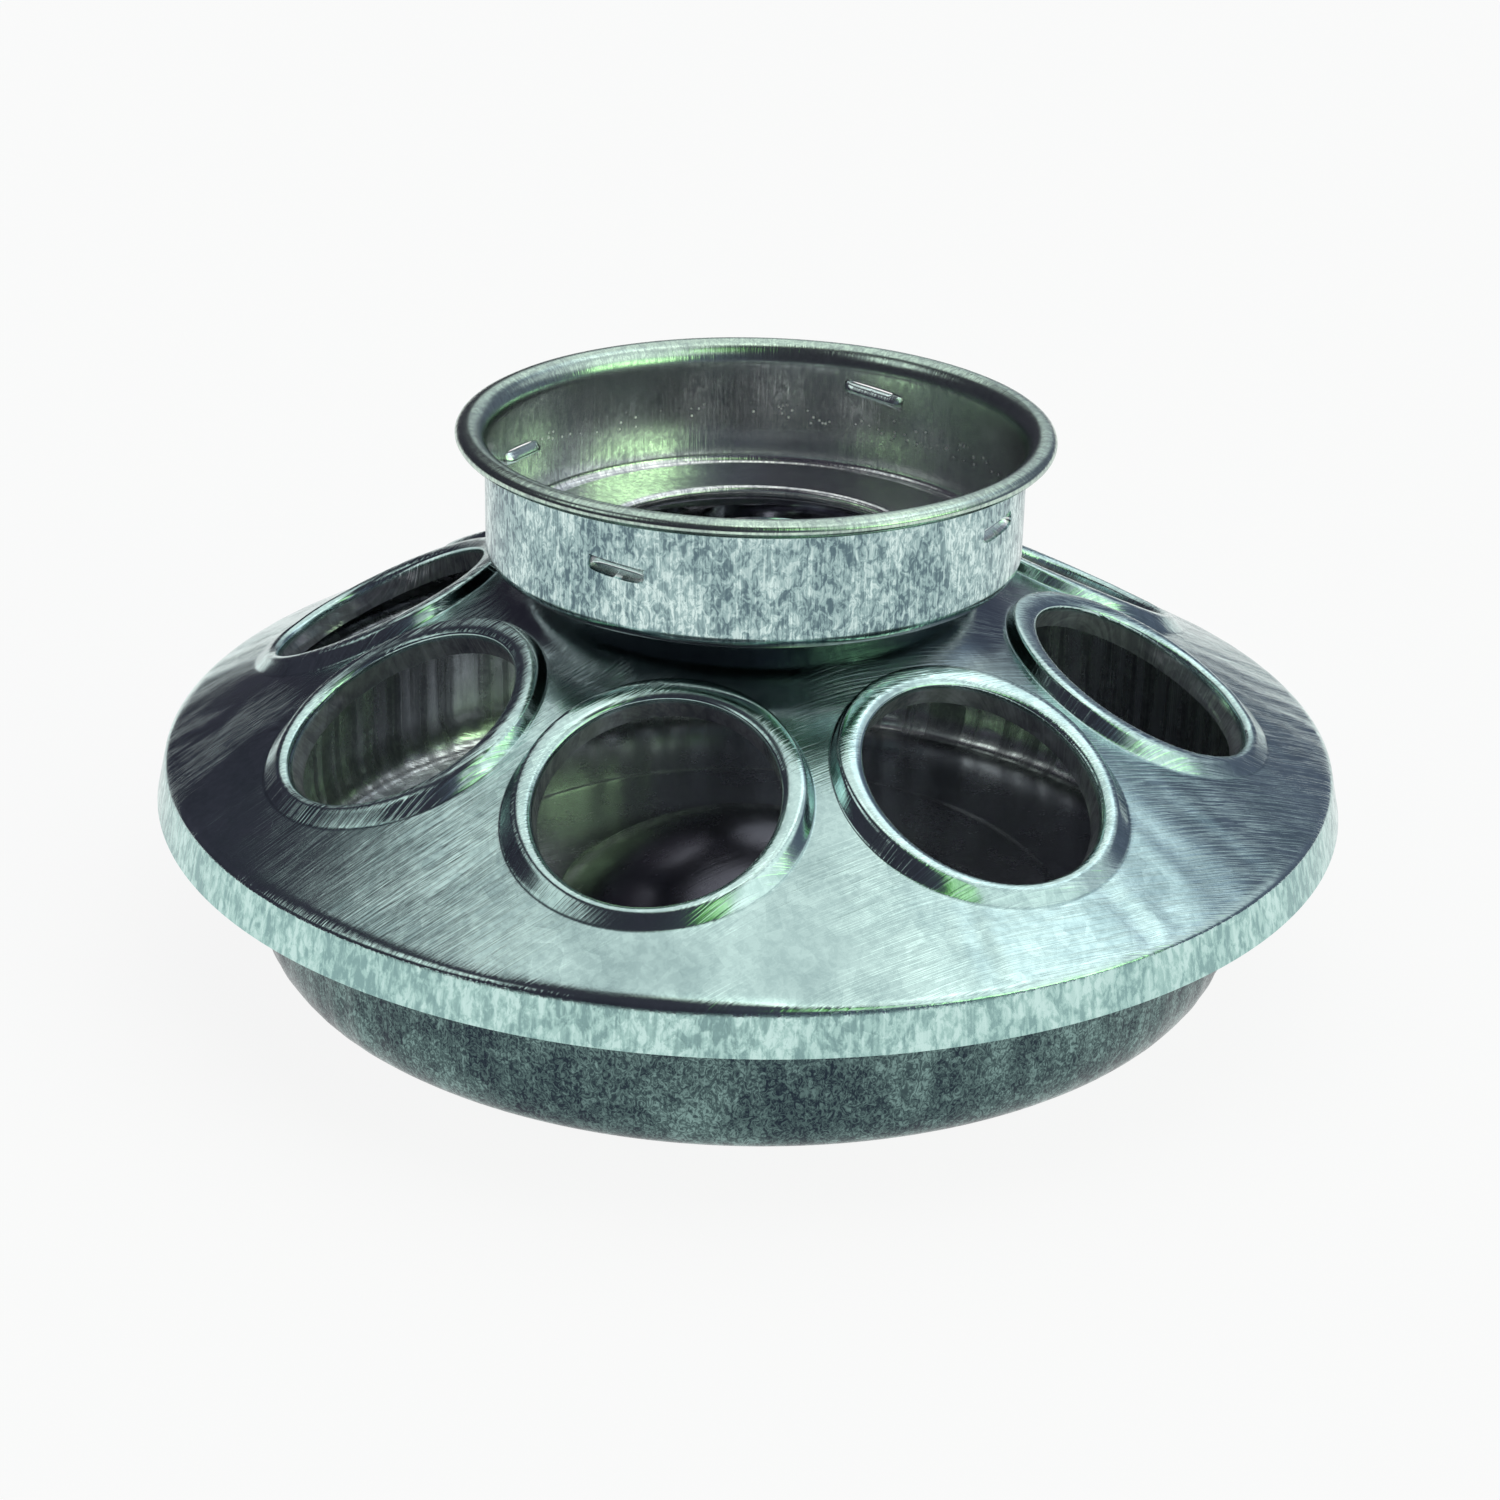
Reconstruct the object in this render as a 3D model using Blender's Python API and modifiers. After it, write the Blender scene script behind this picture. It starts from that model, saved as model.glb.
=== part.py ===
"""Chick feeder: a round jar feeder base pressed from galvanised steel sheet.

It is three pieces of sheet: a feed pan, a cover with a ring of raised feed
holes that rests on the pan's flange, and a jar collar that is seamed to the
cover's neck with a folded eyelet.

Sizes are in metres and +Z is up. The origin is the centre of the pan's
underside, and the middle of one feed hole faces -Y. Angles round the feeder
are counted from -Y, anticlockwise as seen from above.
"""

import math

import bmesh
import bpy
from mathutils import Matrix, Vector

# Sheet and clearances
SHEET = 0.0005              # thickness of the steel sheet
SEAT_GAP = 0.0003           # gap between two faces that rest on each other
RIM_CLEARANCE = 0.0008      # gap from the pan's flange to the cover's skirt

# Feed holes of the cover
HOLE_COUNT = 8
RING_RADIUS = 0.0169        # crest of a hole's raised ring, across the slope
RING_STRETCH = 1.05         # how much longer a ring is along the slope
RING_FLANK = 0.0025         # width of the slanted flank outside the crest
RING_RISE = 0.0007          # crest above the cone, at the hole's middle
RING_NOSE = 0.0010          # radius of the bend over the crest
LIP_DEPTH = 0.0038          # how far the turned-in lip goes below the crest
LIP_TAPER = 0.0015          # how far the lip's edge lies inside the crest
NOSE_TILTS = (-25, 0, 40, 80)   # slants of the ring round its nose, flank to lip, in degrees
WEB = 0.0022                # cone left between the feet of two rings

# Cone, skirt and neck of the cover
CONE_SLOPE = math.radians(26.4)
RIM_BAND = 0.0090           # plan width from the rings' feet to the crease
CREASE_BEND = 0.0008
SKIRT_DROP = 0.0059         # height of the skirt below the crease
SKIRT_FLARE = 0.00135       # how far the skirt spreads over that height
SEAM_WIDTH = 0.0033         # flat of the neck, from the throat to the cone
NECK_BEND = 0.0008

# Jar collar
THROAT_RADIUS = 0.0226
EYELET_BEND = 0.0009
COLLAR_RADIUS = 0.0365      # outside of the collar's wall
COLLAR_HEIGHT = 0.0172      # from the collar's floor to the top of its bead
GROOVE_DEPTH = 0.0009       # groove at the foot of the wall
GROOVE_RUN = 0.0016         # width of the groove's slope up to the floor
GROOVE_BEND = 0.0010
BEAD_WIDTH = 0.0035
BEAD_END = -125             # where the rolled bead's edge ends, in degrees
BEAD_HEIGHT = 0.0023
BEAD_FLARE = 0.0009         # how far the wall spreads under the bead
FLARE_HEIGHT = 0.0030

# Lanced lugs that hold the jar's thread
LUG_COUNT = 4
LUG_LENGTH = 0.0100
LUG_DEPTH = 0.0014          # how far a lug stands into the collar
LUG_RAMP = 0.0022           # height of the ramp under a lug's cut edge
LUG_SLIT = 0.0005
LUG_MERGE = 0.00005         # how far a lug's body runs into the wall
LUG_DROP = 0.0091           # lowest lug's cut edge, below the bead's top
LUG_LEAD = 0.0049           # climb of the lugs in one turn
LUG_START = math.radians(-106)

# Feed pan
PAN_DEPTH = 0.0275
FLANGE_WIDTH = 0.0101
FLANGE_BEND = 0.0015
CORNER_WIDTH = 0.0042
CORNER_HEIGHT = 0.0079
TROUGH_WIDTH = 0.0192       # flat ring that the pan stands on
STEP_RISE = 0.0008
STEP_RUN = 0.0012
FLOOR_RISE = 0.0006         # from the step to the foot of the dome
DOME_RADIUS = 0.0265
DOME_RISE = 0.0101

# Facets
RING_STEPS = 28
PAN_STEPS = 48
COLLAR_STEPS = 48
BEND_STEPS = 2
CORNER_STEPS = 4
DOME_STEPS = 5
GROOVE_STEPS = 2
FLARE_STEPS = 3
BEAD_STEPS = 7
SHARP_ANGLE = math.radians(35)

# Sizes that follow from the ones above
SECTOR = 2 * math.pi / HOLE_COUNT
RING_LENGTH = RING_RADIUS * RING_STRETCH
PITCH_RADIUS = (RING_RADIUS + RING_FLANK + WEB / 2) / math.sin(SECTOR / 2)
CREASE_RADIUS = PITCH_RADIUS + (RING_LENGTH + RING_FLANK) * math.cos(CONE_SLOPE) + RIM_BAND
FLANGE_RADIUS = CREASE_RADIUS - SHEET - RIM_CLEARANCE
PAN_RADIUS = FLANGE_RADIUS - FLANGE_WIDTH
CONE_UNDERSIDE = SHEET / math.cos(CONE_SLOPE)
CREASE_SETBACK = (CREASE_RADIUS - FLANGE_RADIUS) * math.tan(CONE_SLOPE)
CREASE_HEIGHT = PAN_DEPTH + SEAT_GAP + CONE_UNDERSIDE - CREASE_SETBACK
NECK_RADIUS = THROAT_RADIUS + SEAM_WIDTH
NECK_HEIGHT = CREASE_HEIGHT + (CREASE_RADIUS - NECK_RADIUS) * math.tan(CONE_SLOPE)
FLOOR_HEIGHT = NECK_HEIGHT + SEAT_GAP + SHEET
BEAD_TOP = FLOOR_HEIGHT + COLLAR_HEIGHT
WALL_INSIDE = COLLAR_RADIUS - SHEET


def clear_scene():
    """Empty the scene of objects and of the collections left by another run."""
    for obj in list(bpy.data.objects):
        bpy.data.objects.remove(obj, do_unlink=True)
    for collection in list(bpy.data.collections):
        bpy.data.collections.remove(collection)


def new_collection(name):
    """Add a collection to the scene."""
    collection = bpy.data.collections.new(name)
    bpy.context.scene.collection.children.link(collection)
    return collection


def new_object(name, mesh, collection):
    """Put a mesh in a collection under a node's name."""
    obj = bpy.data.objects.new(name, mesh)
    collection.objects.link(obj)
    return obj


def dress(obj, colour, roughness):
    """Give an object its own zinc material, and smooth shading up to its creases."""
    material = bpy.data.materials.new(obj.name + "_zinc")
    material.use_nodes = True
    shader = material.node_tree.nodes["Principled BSDF"]
    shader.inputs["Base Color"].default_value = (*colour, 1.0)
    shader.inputs["Metallic"].default_value = 1.0
    shader.inputs["Roughness"].default_value = roughness
    obj.data.materials.append(material)
    obj.data.shade_smooth()
    obj.data.set_sharp_from_angle(angle=SHARP_ANGLE)


def thicken(obj):
    """Give a surface the sheet's thickness, on the side that its faces turn away from."""
    shell = obj.modifiers.new("sheet", "SOLIDIFY")
    shell.thickness = SHEET
    shell.offset = -1.0
    shell.use_even_offset = True


def turned_sheet(name, profile, steps, collection):
    """Turn an open profile of (radius, height) points about Z and thicken it."""
    mesh = bpy.data.meshes.new(name)
    points = [(radius, 0.0, height) for radius, height in profile]
    edges = [(i, i + 1) for i in range(len(points) - 1)]
    mesh.from_pydata(points, edges, [])
    obj = new_object(name, mesh, collection)
    turn = obj.modifiers.new("turn", "SCREW")
    turn.axis = "Z"
    turn.steps = steps
    turn.render_steps = steps
    turn.use_merge_vertices = True
    turn.merge_threshold = 0.00001
    thicken(obj)
    return obj


def arc(middle, size, start, end, steps):
    """Points on an upright ellipse, from one angle to another in degrees, without the first."""
    angles = [math.radians(start + (end - start) * i / steps) for i in range(1, steps + 1)]
    return [(middle[0] + size[0] * math.cos(a), middle[1] + size[1] * math.sin(a)) for a in angles]


def ease(share):
    """Smooth climb from 0 to 1, level at both ends."""
    return 0.5 - 0.5 * math.cos(math.pi * share)


def pan_profile():
    """Under and outer face of the pan, from its flange's edge down and in to the axis."""
    under = PAN_DEPTH - SHEET
    points = [(FLANGE_RADIUS, under), (PAN_RADIUS + FLANGE_BEND, under)]
    bend_middle = (PAN_RADIUS + FLANGE_BEND, under - FLANGE_BEND)
    points += arc(bend_middle, (FLANGE_BEND, FLANGE_BEND), 90, 180, BEND_STEPS)
    corner_middle = (PAN_RADIUS - CORNER_WIDTH, CORNER_HEIGHT)
    points.append((PAN_RADIUS, CORNER_HEIGHT))
    points += arc(corner_middle, (CORNER_WIDTH, CORNER_HEIGHT), 0, -90, CORNER_STEPS)
    step_radius = PAN_RADIUS - CORNER_WIDTH - TROUGH_WIDTH
    points.append((step_radius, 0.0))
    points.append((step_radius - STEP_RUN, STEP_RISE))
    foot = STEP_RISE + FLOOR_RISE
    sphere = (DOME_RADIUS ** 2 + DOME_RISE ** 2) / (2 * DOME_RISE)
    steepest = math.asin(DOME_RADIUS / sphere)
    for i in range(DOME_STEPS):
        tilt = steepest * (1 - i / DOME_STEPS)
        drop = sphere * (1 - math.cos(tilt))
        points.append((sphere * math.sin(tilt), foot + DOME_RISE - drop))
    points.append((0.0, foot + DOME_RISE))
    return points


def collar_profile():
    """Inner face of the collar, from the eyelet's folded edge up to the end of the bead."""
    fold_height = FLOOR_HEIGHT - 3 * SHEET - 2 * SEAT_GAP
    fold_edge = NECK_RADIUS - SHEET - SEAT_GAP
    bend = (EYELET_BEND, EYELET_BEND)
    points = [(fold_edge, fold_height), (THROAT_RADIUS + EYELET_BEND, fold_height)]
    fold_middle = (THROAT_RADIUS + EYELET_BEND, fold_height + EYELET_BEND)
    points += arc(fold_middle, bend, 270, 180, BEND_STEPS)
    points.append((THROAT_RADIUS, FLOOR_HEIGHT - EYELET_BEND))
    floor_middle = (THROAT_RADIUS + EYELET_BEND, FLOOR_HEIGHT - EYELET_BEND)
    points += arc(floor_middle, bend, 180, 90, BEND_STEPS)
    groove_middle = WALL_INSIDE - GROOVE_BEND
    for i in range(GROOVE_STEPS + 1):
        share = i / GROOVE_STEPS
        reach = groove_middle - GROOVE_RUN * (1 - share)
        points.append((reach, FLOOR_HEIGHT - GROOVE_DEPTH * ease(share)))
    groove_top = FLOOR_HEIGHT - GROOVE_DEPTH + GROOVE_BEND
    points += arc((groove_middle, groove_top), (GROOVE_BEND, GROOVE_BEND), -90, 0, BEND_STEPS)
    bead = (BEAD_WIDTH / 2, BEAD_HEIGHT / 2)
    bead_middle = (WALL_INSIDE + BEAD_FLARE + bead[0], BEAD_TOP - bead[1])
    for i in range(FLARE_STEPS + 1):
        share = i / FLARE_STEPS
        height = bead_middle[1] - FLARE_HEIGHT * (1 - share)
        points.append((WALL_INSIDE + BEAD_FLARE * ease(share), height))
    points += arc(bead_middle, bead, 180, BEAD_END, BEAD_STEPS)
    return points


def lug_frame(index):
    """Place of a lug: X along the wall, Y outwards from the feeder's axis, Z up from its cut edge."""
    turn = LUG_START + 2 * math.pi * index / LUG_COUNT
    height = BEAD_TOP - LUG_DROP + LUG_LEAD * index / LUG_COUNT
    climb = math.atan(LUG_LEAD / (2 * math.pi * WALL_INSIDE))
    facing = Matrix.Rotation(turn + math.pi, 4, "Z")
    return Matrix.Translation((0, 0, height)) @ facing @ Matrix.Rotation(climb, 4, "Y")


def wedge_set(name, length, inner, outer, top, bottom, collection):
    """One wedge at each lug, whose inner face slants from a top to a bottom radius."""
    bm = bmesh.new()
    for index in range(LUG_COUNT):
        corners = bmesh.ops.create_cube(bm, size=2.0)["verts"]
        for corner in corners:
            slant = inner[0] if corner.co.z > 0 else inner[1]
            corner.co.x *= length / 2
            corner.co.y = outer if corner.co.y > 0 else slant
            corner.co.z = top if corner.co.z > 0 else bottom
        bmesh.ops.transform(bm, matrix=lug_frame(index), verts=corners)
    mesh = bpy.data.meshes.new(name)
    bm.to_mesh(mesh)
    bm.free()
    wedges = new_object(name, mesh, collection)
    wedges.hide_render = True
    wedges.display_type = "WIRE"
    return wedges


def combine(obj, tool, operation):
    """Join a tool body to an object, or cut it away."""
    boolean = obj.modifiers.new(tool.name, "BOOLEAN")
    boolean.operation = operation
    boolean.object = tool


def add_lugs(collar, cutters):
    """Press the lugs into the collar's wall, each open along its upper edge."""
    mouth = LUG_LENGTH - 2 * SHEET
    tip = WALL_INSIDE - LUG_DEPTH
    root = WALL_INSIDE + LUG_MERGE
    past = COLLAR_RADIUS + LUG_DEPTH
    ramp = (tip, WALL_INSIDE + LUG_MERGE / 2)
    hollow = (tip + SHEET, COLLAR_RADIUS)
    through = (tip - SHEET, tip - SHEET)
    bumps = wedge_set("lug_bumps", LUG_LENGTH, ramp, root, LUG_SLIT / 2, -LUG_RAMP, cutters)
    hollows = wedge_set("lug_hollows", mouth, hollow, past, LUG_SLIT / 2, -LUG_RAMP, cutters)
    slits = wedge_set("lug_slits", mouth, through, past, LUG_SLIT, 0.0, cutters)
    combine(collar, bumps, "UNION")
    combine(collar, hollows, "DIFFERENCE")
    combine(collar, slits, "DIFFERENCE")


def cone_height(radius):
    """Height of the cone's upper face at a radius."""
    return CREASE_HEIGHT + (CREASE_RADIUS - radius) * math.tan(CONE_SLOPE)


def sector_outline():
    """Outline of one hole's share of the cone, as (across, outwards) points.

    There is one point for each step round the ring, in step with it, and the
    straight sides meet the neighbours' sides point for point.
    """
    half = SECTOR / 2
    outer = CREASE_RADIUS - CREASE_BEND
    inner = NECK_RADIUS + NECK_BEND
    step = 2 * math.pi / RING_STEPS
    outer_turn = math.atan2(outer * math.sin(half), outer * math.cos(half) - PITCH_RADIUS)
    inner_turn = math.atan2(inner * math.sin(half), inner * math.cos(half) - PITCH_RADIUS)
    outer_last = max(1, round(outer_turn / step))
    inner_first = min(RING_STEPS // 2 - 1, round(inner_turn / step))
    points = []
    for i in range(RING_STEPS // 2 + 1):
        if i <= outer_last:
            place = (outer, half * i / outer_last)
        elif i >= inner_first:
            left = (RING_STEPS // 2 - i) / (RING_STEPS // 2 - inner_first)
            place = (inner, half * left)
        else:
            turn = step * i
            place = (PITCH_RADIUS * math.sin(turn) / math.sin(turn - half), half)
        points.append((place[0] * math.sin(place[1]), place[0] * math.cos(place[1])))
    mirrored = [(-across, out) for across, out in points[-2:0:-1]]
    return points + mirrored


def ring_section():
    """Section of a raised ring inside its foot, as (growth past the crest, height) points.

    Heights count from the plane that touches the cone at the hole's middle.
    """
    points = []
    for tilt in NOSE_TILTS:
        turn = math.radians(tilt)
        drop = RING_NOSE * (1 - math.cos(turn))
        points.append((-RING_NOSE * math.sin(turn), RING_RISE - drop))
    points.append((-LIP_TAPER, RING_RISE - LIP_DEPTH))
    return points


def sector_rows():
    """Rows of points from a sector's outline to its hole's lip, as (across, outwards, height)."""
    outline = [(across, out, cone_height(math.hypot(across, out))) for across, out in sector_outline()]
    turns = [2 * math.pi * i / RING_STEPS for i in range(RING_STEPS)]
    foot = []
    for turn in turns:
        across = (RING_RADIUS + RING_FLANK) * math.sin(turn)
        along = (RING_LENGTH + RING_FLANK) * math.cos(turn)
        out = PITCH_RADIUS + along * math.cos(CONE_SLOPE)
        foot.append((across, out, cone_height(math.hypot(across, out))))
    rows = [outline, foot]
    for growth, rise in ring_section():
        row = []
        for turn in turns:
            across = (RING_RADIUS + growth) * math.sin(turn)
            along = (RING_LENGTH + growth) * math.cos(turn)
            out = PITCH_RADIUS + along * math.cos(CONE_SLOPE) + rise * math.sin(CONE_SLOPE)
            drop = along * math.sin(CONE_SLOPE) - rise * math.cos(CONE_SLOPE)
            row.append((across, out, cone_height(PITCH_RADIUS) - drop))
        rows.append(row)
    return rows


def loft(bm, rows):
    """Join closed rows of points with faces, each row to the next."""
    loops = [[bm.verts.new(point) for point in row] for row in rows]
    for outer, inner in zip(loops, loops[1:]):
        for i in range(len(outer)):
            j = (i + 1) % len(outer)
            bm.faces.new((outer[i], outer[j], inner[j], inner[i]))


def draw_edge(bm, loop, rings):
    """Draw a round free edge on through (radius, height) rings."""
    for radius, height in rings:
        drawn = bmesh.ops.extrude_edge_only(bm, edges=loop)["geom"]
        for vert in (item for item in drawn if isinstance(item, bmesh.types.BMVert)):
            scale = radius / math.hypot(vert.co.x, vert.co.y)
            vert.co = (vert.co.x * scale, vert.co.y * scale, height)
        loop = [item for item in drawn if isinstance(item, bmesh.types.BMEdge)]


def round_edge(bm, radius):
    """Free edges that lie on a circle about the axis."""
    free = [edge for edge in bm.edges if edge.is_boundary]
    return [edge for edge in free
            if all(abs(math.hypot(*vert.co.xy) - radius) < SHEET / 100 for vert in edge.verts)]


def skirt_rings():
    """Rings of the skirt, from the middle of the crease's bend to the skirt's raw edge."""
    start = (CREASE_RADIUS - CREASE_BEND, cone_height(CREASE_RADIUS - CREASE_BEND))
    spread = SKIRT_FLARE / SKIRT_DROP
    end = (CREASE_RADIUS + CREASE_BEND * spread, CREASE_HEIGHT - CREASE_BEND)
    corner = (CREASE_RADIUS, CREASE_HEIGHT)
    middle = tuple((a + 2 * b + c) / 4 for a, b, c in zip(start, corner, end))
    return [middle, end, (CREASE_RADIUS + SKIRT_FLARE, CREASE_HEIGHT - SKIRT_DROP)]


def neck_rings():
    """Rings of the neck's flat, from its bend to the edge round the eyelet."""
    eyelet_edge = THROAT_RADIUS + SHEET + SEAT_GAP
    return [(NECK_RADIUS - NECK_BEND, NECK_HEIGHT), (eyelet_edge, NECK_HEIGHT)]


def build_cover(collection):
    """Perforated cover: lofted sectors round the axis, drawn on to the skirt and the neck."""
    bm = bmesh.new()
    rows = sector_rows()
    for index in range(HOLE_COUNT):
        turn = SECTOR * index
        place = Matrix(((math.cos(turn), math.sin(turn), 0), (math.sin(turn), -math.cos(turn), 0),
                        (0, 0, 1)))
        loft(bm, [[place @ Vector(point) for point in row] for row in rows])
    bmesh.ops.remove_doubles(bm, verts=bm.verts, dist=0.000001)
    draw_edge(bm, round_edge(bm, CREASE_RADIUS - CREASE_BEND), skirt_rings())
    draw_edge(bm, round_edge(bm, NECK_RADIUS + NECK_BEND), neck_rings())
    mesh = bpy.data.meshes.new("perforated_cover")
    bm.to_mesh(mesh)
    bm.free()
    cover = new_object("perforated_cover", mesh, collection)
    thicken(cover)
    return cover


def build_collar(collection, cutters):
    """Jar collar: a turned cup with a rolled bead, an eyelet and lanced lugs."""
    collar = turned_sheet("jar_collar", collar_profile(), COLLAR_STEPS, collection)
    add_lugs(collar, cutters)
    return collar


def main():
    """Build the feeder."""
    clear_scene()
    feeder = new_collection("chick_feeder")
    cutters = new_collection("cutters")
    pan = turned_sheet("feed_pan", pan_profile(), PAN_STEPS, feeder)
    cover = build_cover(feeder)
    collar = build_collar(feeder, cutters)
    dress(pan, (0.30, 0.35, 0.36), 0.42)
    dress(cover, (0.52, 0.60, 0.60), 0.30)
    dress(collar, (0.50, 0.58, 0.60), 0.38)


main()
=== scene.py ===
"""Looks of the chick feeder, a jar feeder base pressed from galvanised steel sheet.

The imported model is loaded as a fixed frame. Each of its three pieces of sheet is
then built again as a fine mesh that stands for its node, and gets a galvanised
finish. A pale floor, a soft studio and the camera follow.

Lengths are in metres, +Z is up, and the frame's origin is the centre of the
pan's underside. Angles round the feeder are counted from -Y, anticlockwise as
seen from above.
"""

import logging
import math
from collections.abc import Sequence
from dataclasses import dataclass, field
from enum import Enum

import bpy
import numpy as np
from mathutils import Matrix, Vector, noise


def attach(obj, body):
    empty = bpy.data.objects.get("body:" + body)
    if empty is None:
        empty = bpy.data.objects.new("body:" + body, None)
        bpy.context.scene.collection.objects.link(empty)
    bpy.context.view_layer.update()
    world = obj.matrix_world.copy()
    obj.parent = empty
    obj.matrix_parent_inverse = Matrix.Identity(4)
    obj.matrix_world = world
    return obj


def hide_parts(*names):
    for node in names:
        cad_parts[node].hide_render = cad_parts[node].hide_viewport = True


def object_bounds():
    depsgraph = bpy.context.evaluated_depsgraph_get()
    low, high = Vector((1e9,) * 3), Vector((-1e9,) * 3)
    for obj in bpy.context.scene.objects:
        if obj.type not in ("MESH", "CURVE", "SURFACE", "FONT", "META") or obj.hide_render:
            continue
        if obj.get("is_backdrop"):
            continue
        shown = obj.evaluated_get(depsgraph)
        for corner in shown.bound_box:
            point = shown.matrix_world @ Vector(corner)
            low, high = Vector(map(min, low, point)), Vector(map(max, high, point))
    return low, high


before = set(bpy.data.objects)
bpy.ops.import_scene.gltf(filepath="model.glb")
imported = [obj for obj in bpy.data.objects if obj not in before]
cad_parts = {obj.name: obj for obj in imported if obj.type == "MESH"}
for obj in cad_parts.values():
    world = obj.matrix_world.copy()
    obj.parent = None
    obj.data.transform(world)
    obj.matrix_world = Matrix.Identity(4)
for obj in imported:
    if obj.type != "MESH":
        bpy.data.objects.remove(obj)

LOG = logging.getLogger("chick_feeder")
MM = 0.001
TURN = 2 * math.pi

Colour = tuple[float, float, float]
Pair = tuple[float, float]


class Side(Enum):
    """Which way the faces of a patch look, seen along its columns and rows."""

    LEFT = 0
    RIGHT = 1


class Grain(Enum):
    """How the fine scratches of a piece run."""

    ROLLED = "straight across the sheet, seen from above"
    TURNED = "outwards from the axis and up the walls"


def smooth(low: float, high: float, values: np.ndarray) -> np.ndarray:
    """Smooth climb from 0 to 1 between two limits.

    Args:
        low: where the climb starts.
        high: where it ends.
        values: the values to map.

    Returns:
        The climb at each value.
    """
    share = np.clip((values - low) / (high - low), 0.0, 1.0)
    return share * share * (3.0 - 2.0 * share)


def arc(middle: Pair, size: Pair, start: float, end: float, steps: int) -> list[Pair]:
    """Points on an upright ellipse, without the first.

    Args:
        middle: its centre, as (radius, height).
        size: its half axes.
        start: the angle where it starts, in degrees.
        end: the angle where it ends.
        steps: how many points to give.

    Returns:
        The points, as (radius, height).
    """
    angles = [math.radians(start + (end - start) * i / steps) for i in range(1, steps + 1)]
    return [(middle[0] + size[0] * math.cos(a), middle[1] + size[1] * math.sin(a)) for a in angles]


def bend(before: Pair, corner: Pair, after: Pair, steps: int) -> list[Pair]:
    """Points of a smooth bend that replaces a corner, both ends included.

    Args:
        before: where the bend starts.
        corner: the sharp corner.
        after: where the bend ends.
        steps: how many segments it has.

    Returns:
        The points of the bend.
    """
    points = []
    for i in range(steps + 1):
        t = i / steps
        first, middle, last = (1 - t) ** 2, 2 * t * (1 - t), t * t
        points.append((first * before[0] + middle * corner[0] + last * after[0],
                       first * before[1] + middle * corner[1] + last * after[1]))
    return points


def refine(profile: Sequence[Pair], spacing: float) -> np.ndarray:
    """Split a profile's long segments.

    Args:
        profile: the points, as (radius, height).
        spacing: the longest segment to leave.

    Returns:
        The finer profile, one row for each point.
    """
    fine = [profile[0]]
    for start, end in zip(profile, profile[1:]):
        parts = max(1, math.ceil(math.dist(start, end) / spacing))
        for i in range(1, parts + 1):
            t = i / parts
            fine.append((start[0] + (end[0] - start[0]) * t, start[1] + (end[1] - start[1]) * t))
    return np.array(fine)


def roughly(points: np.ndarray, size: float, seed: float) -> np.ndarray:
    """Smooth noise from -1 to 1 at each point.

    Args:
        points: one row for each point.
        size: the width of the noise's swells.
        seed: shifts the noise.

    Returns:
        One value for each point.
    """
    shift = Vector((seed, 2.3 * seed, -1.7 * seed))
    return np.array([noise.noise(Vector(point) / size + shift) for point in points])


def polar(points: np.ndarray) -> tuple[np.ndarray, np.ndarray]:
    """Place of points round the feeder's axis.

    Args:
        points: one row for each point.

    Returns:
        The distance from the axis and the angle from -Y, in radians, of each point.
    """
    return np.hypot(points[:, 0], points[:, 1]), np.arctan2(points[:, 0], -points[:, 1])


@dataclass
class Patch:
    """A grid of points that becomes faces.

    Attributes:
        points: rows x columns x 3.
        side: which way its faces look.
        marks: values for each point, by name.
    """

    points: np.ndarray
    side: Side = Side.RIGHT
    marks: dict[str, np.ndarray] = field(default_factory=dict)

    def faces(self, first: int) -> np.ndarray:
        """Corner numbers of the patch's faces, each column joined to the next and the last to the first.

        Args:
            first: the number of the patch's first point.

        Returns:
            One row of four numbers for each face.
        """
        rows, columns = self.points.shape[:2]
        number = first + np.arange(rows * columns).reshape(rows, columns)
        after = np.roll(number, -1, axis=1)
        corners = [number[:-1], number[1:], after[1:], after[:-1]]
        if self.side is Side.LEFT:
            corners.reverse()
        return np.stack(corners, axis=-1).reshape(-1, 4)


def weld(patches: Sequence[Patch], name: str) -> bpy.types.Mesh:
    """Join patches into one mesh, with the points that meet made one.

    Args:
        patches: the patches, which all carry the same marks.
        name: the mesh's name.

    Returns:
        The mesh, with one float attribute for each mark.
    """
    points = np.concatenate([patch.points.reshape(-1, 3) for patch in patches])
    faces, first = [], 0
    for patch in patches:
        faces.append(patch.faces(first))
        first += patch.points.shape[0] * patch.points.shape[1]
    grid = np.round(points / (0.002 * MM)).astype(np.int64)
    kept, number = np.unique(grid, axis=0, return_index=True, return_inverse=True)[1:]
    corners = number.reshape(-1)[np.concatenate(faces)]
    loops = []
    for face in corners.tolist():
        loop = [corner for i, corner in enumerate(face) if corner != face[i - 1]]
        if len(loop) > 2:
            loops.append(loop)
    mesh = bpy.data.meshes.new(name)
    mesh.from_pydata(points[kept].tolist(), [], loops)
    for mark in patches[0].marks:
        values = np.concatenate([patch.marks[mark].reshape(-1) for patch in patches])[kept]
        layer = mesh.attributes.new(mark, "FLOAT", "POINT")
        layer.data.foreach_set("value", values.astype(np.float32))
    return mesh


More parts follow.
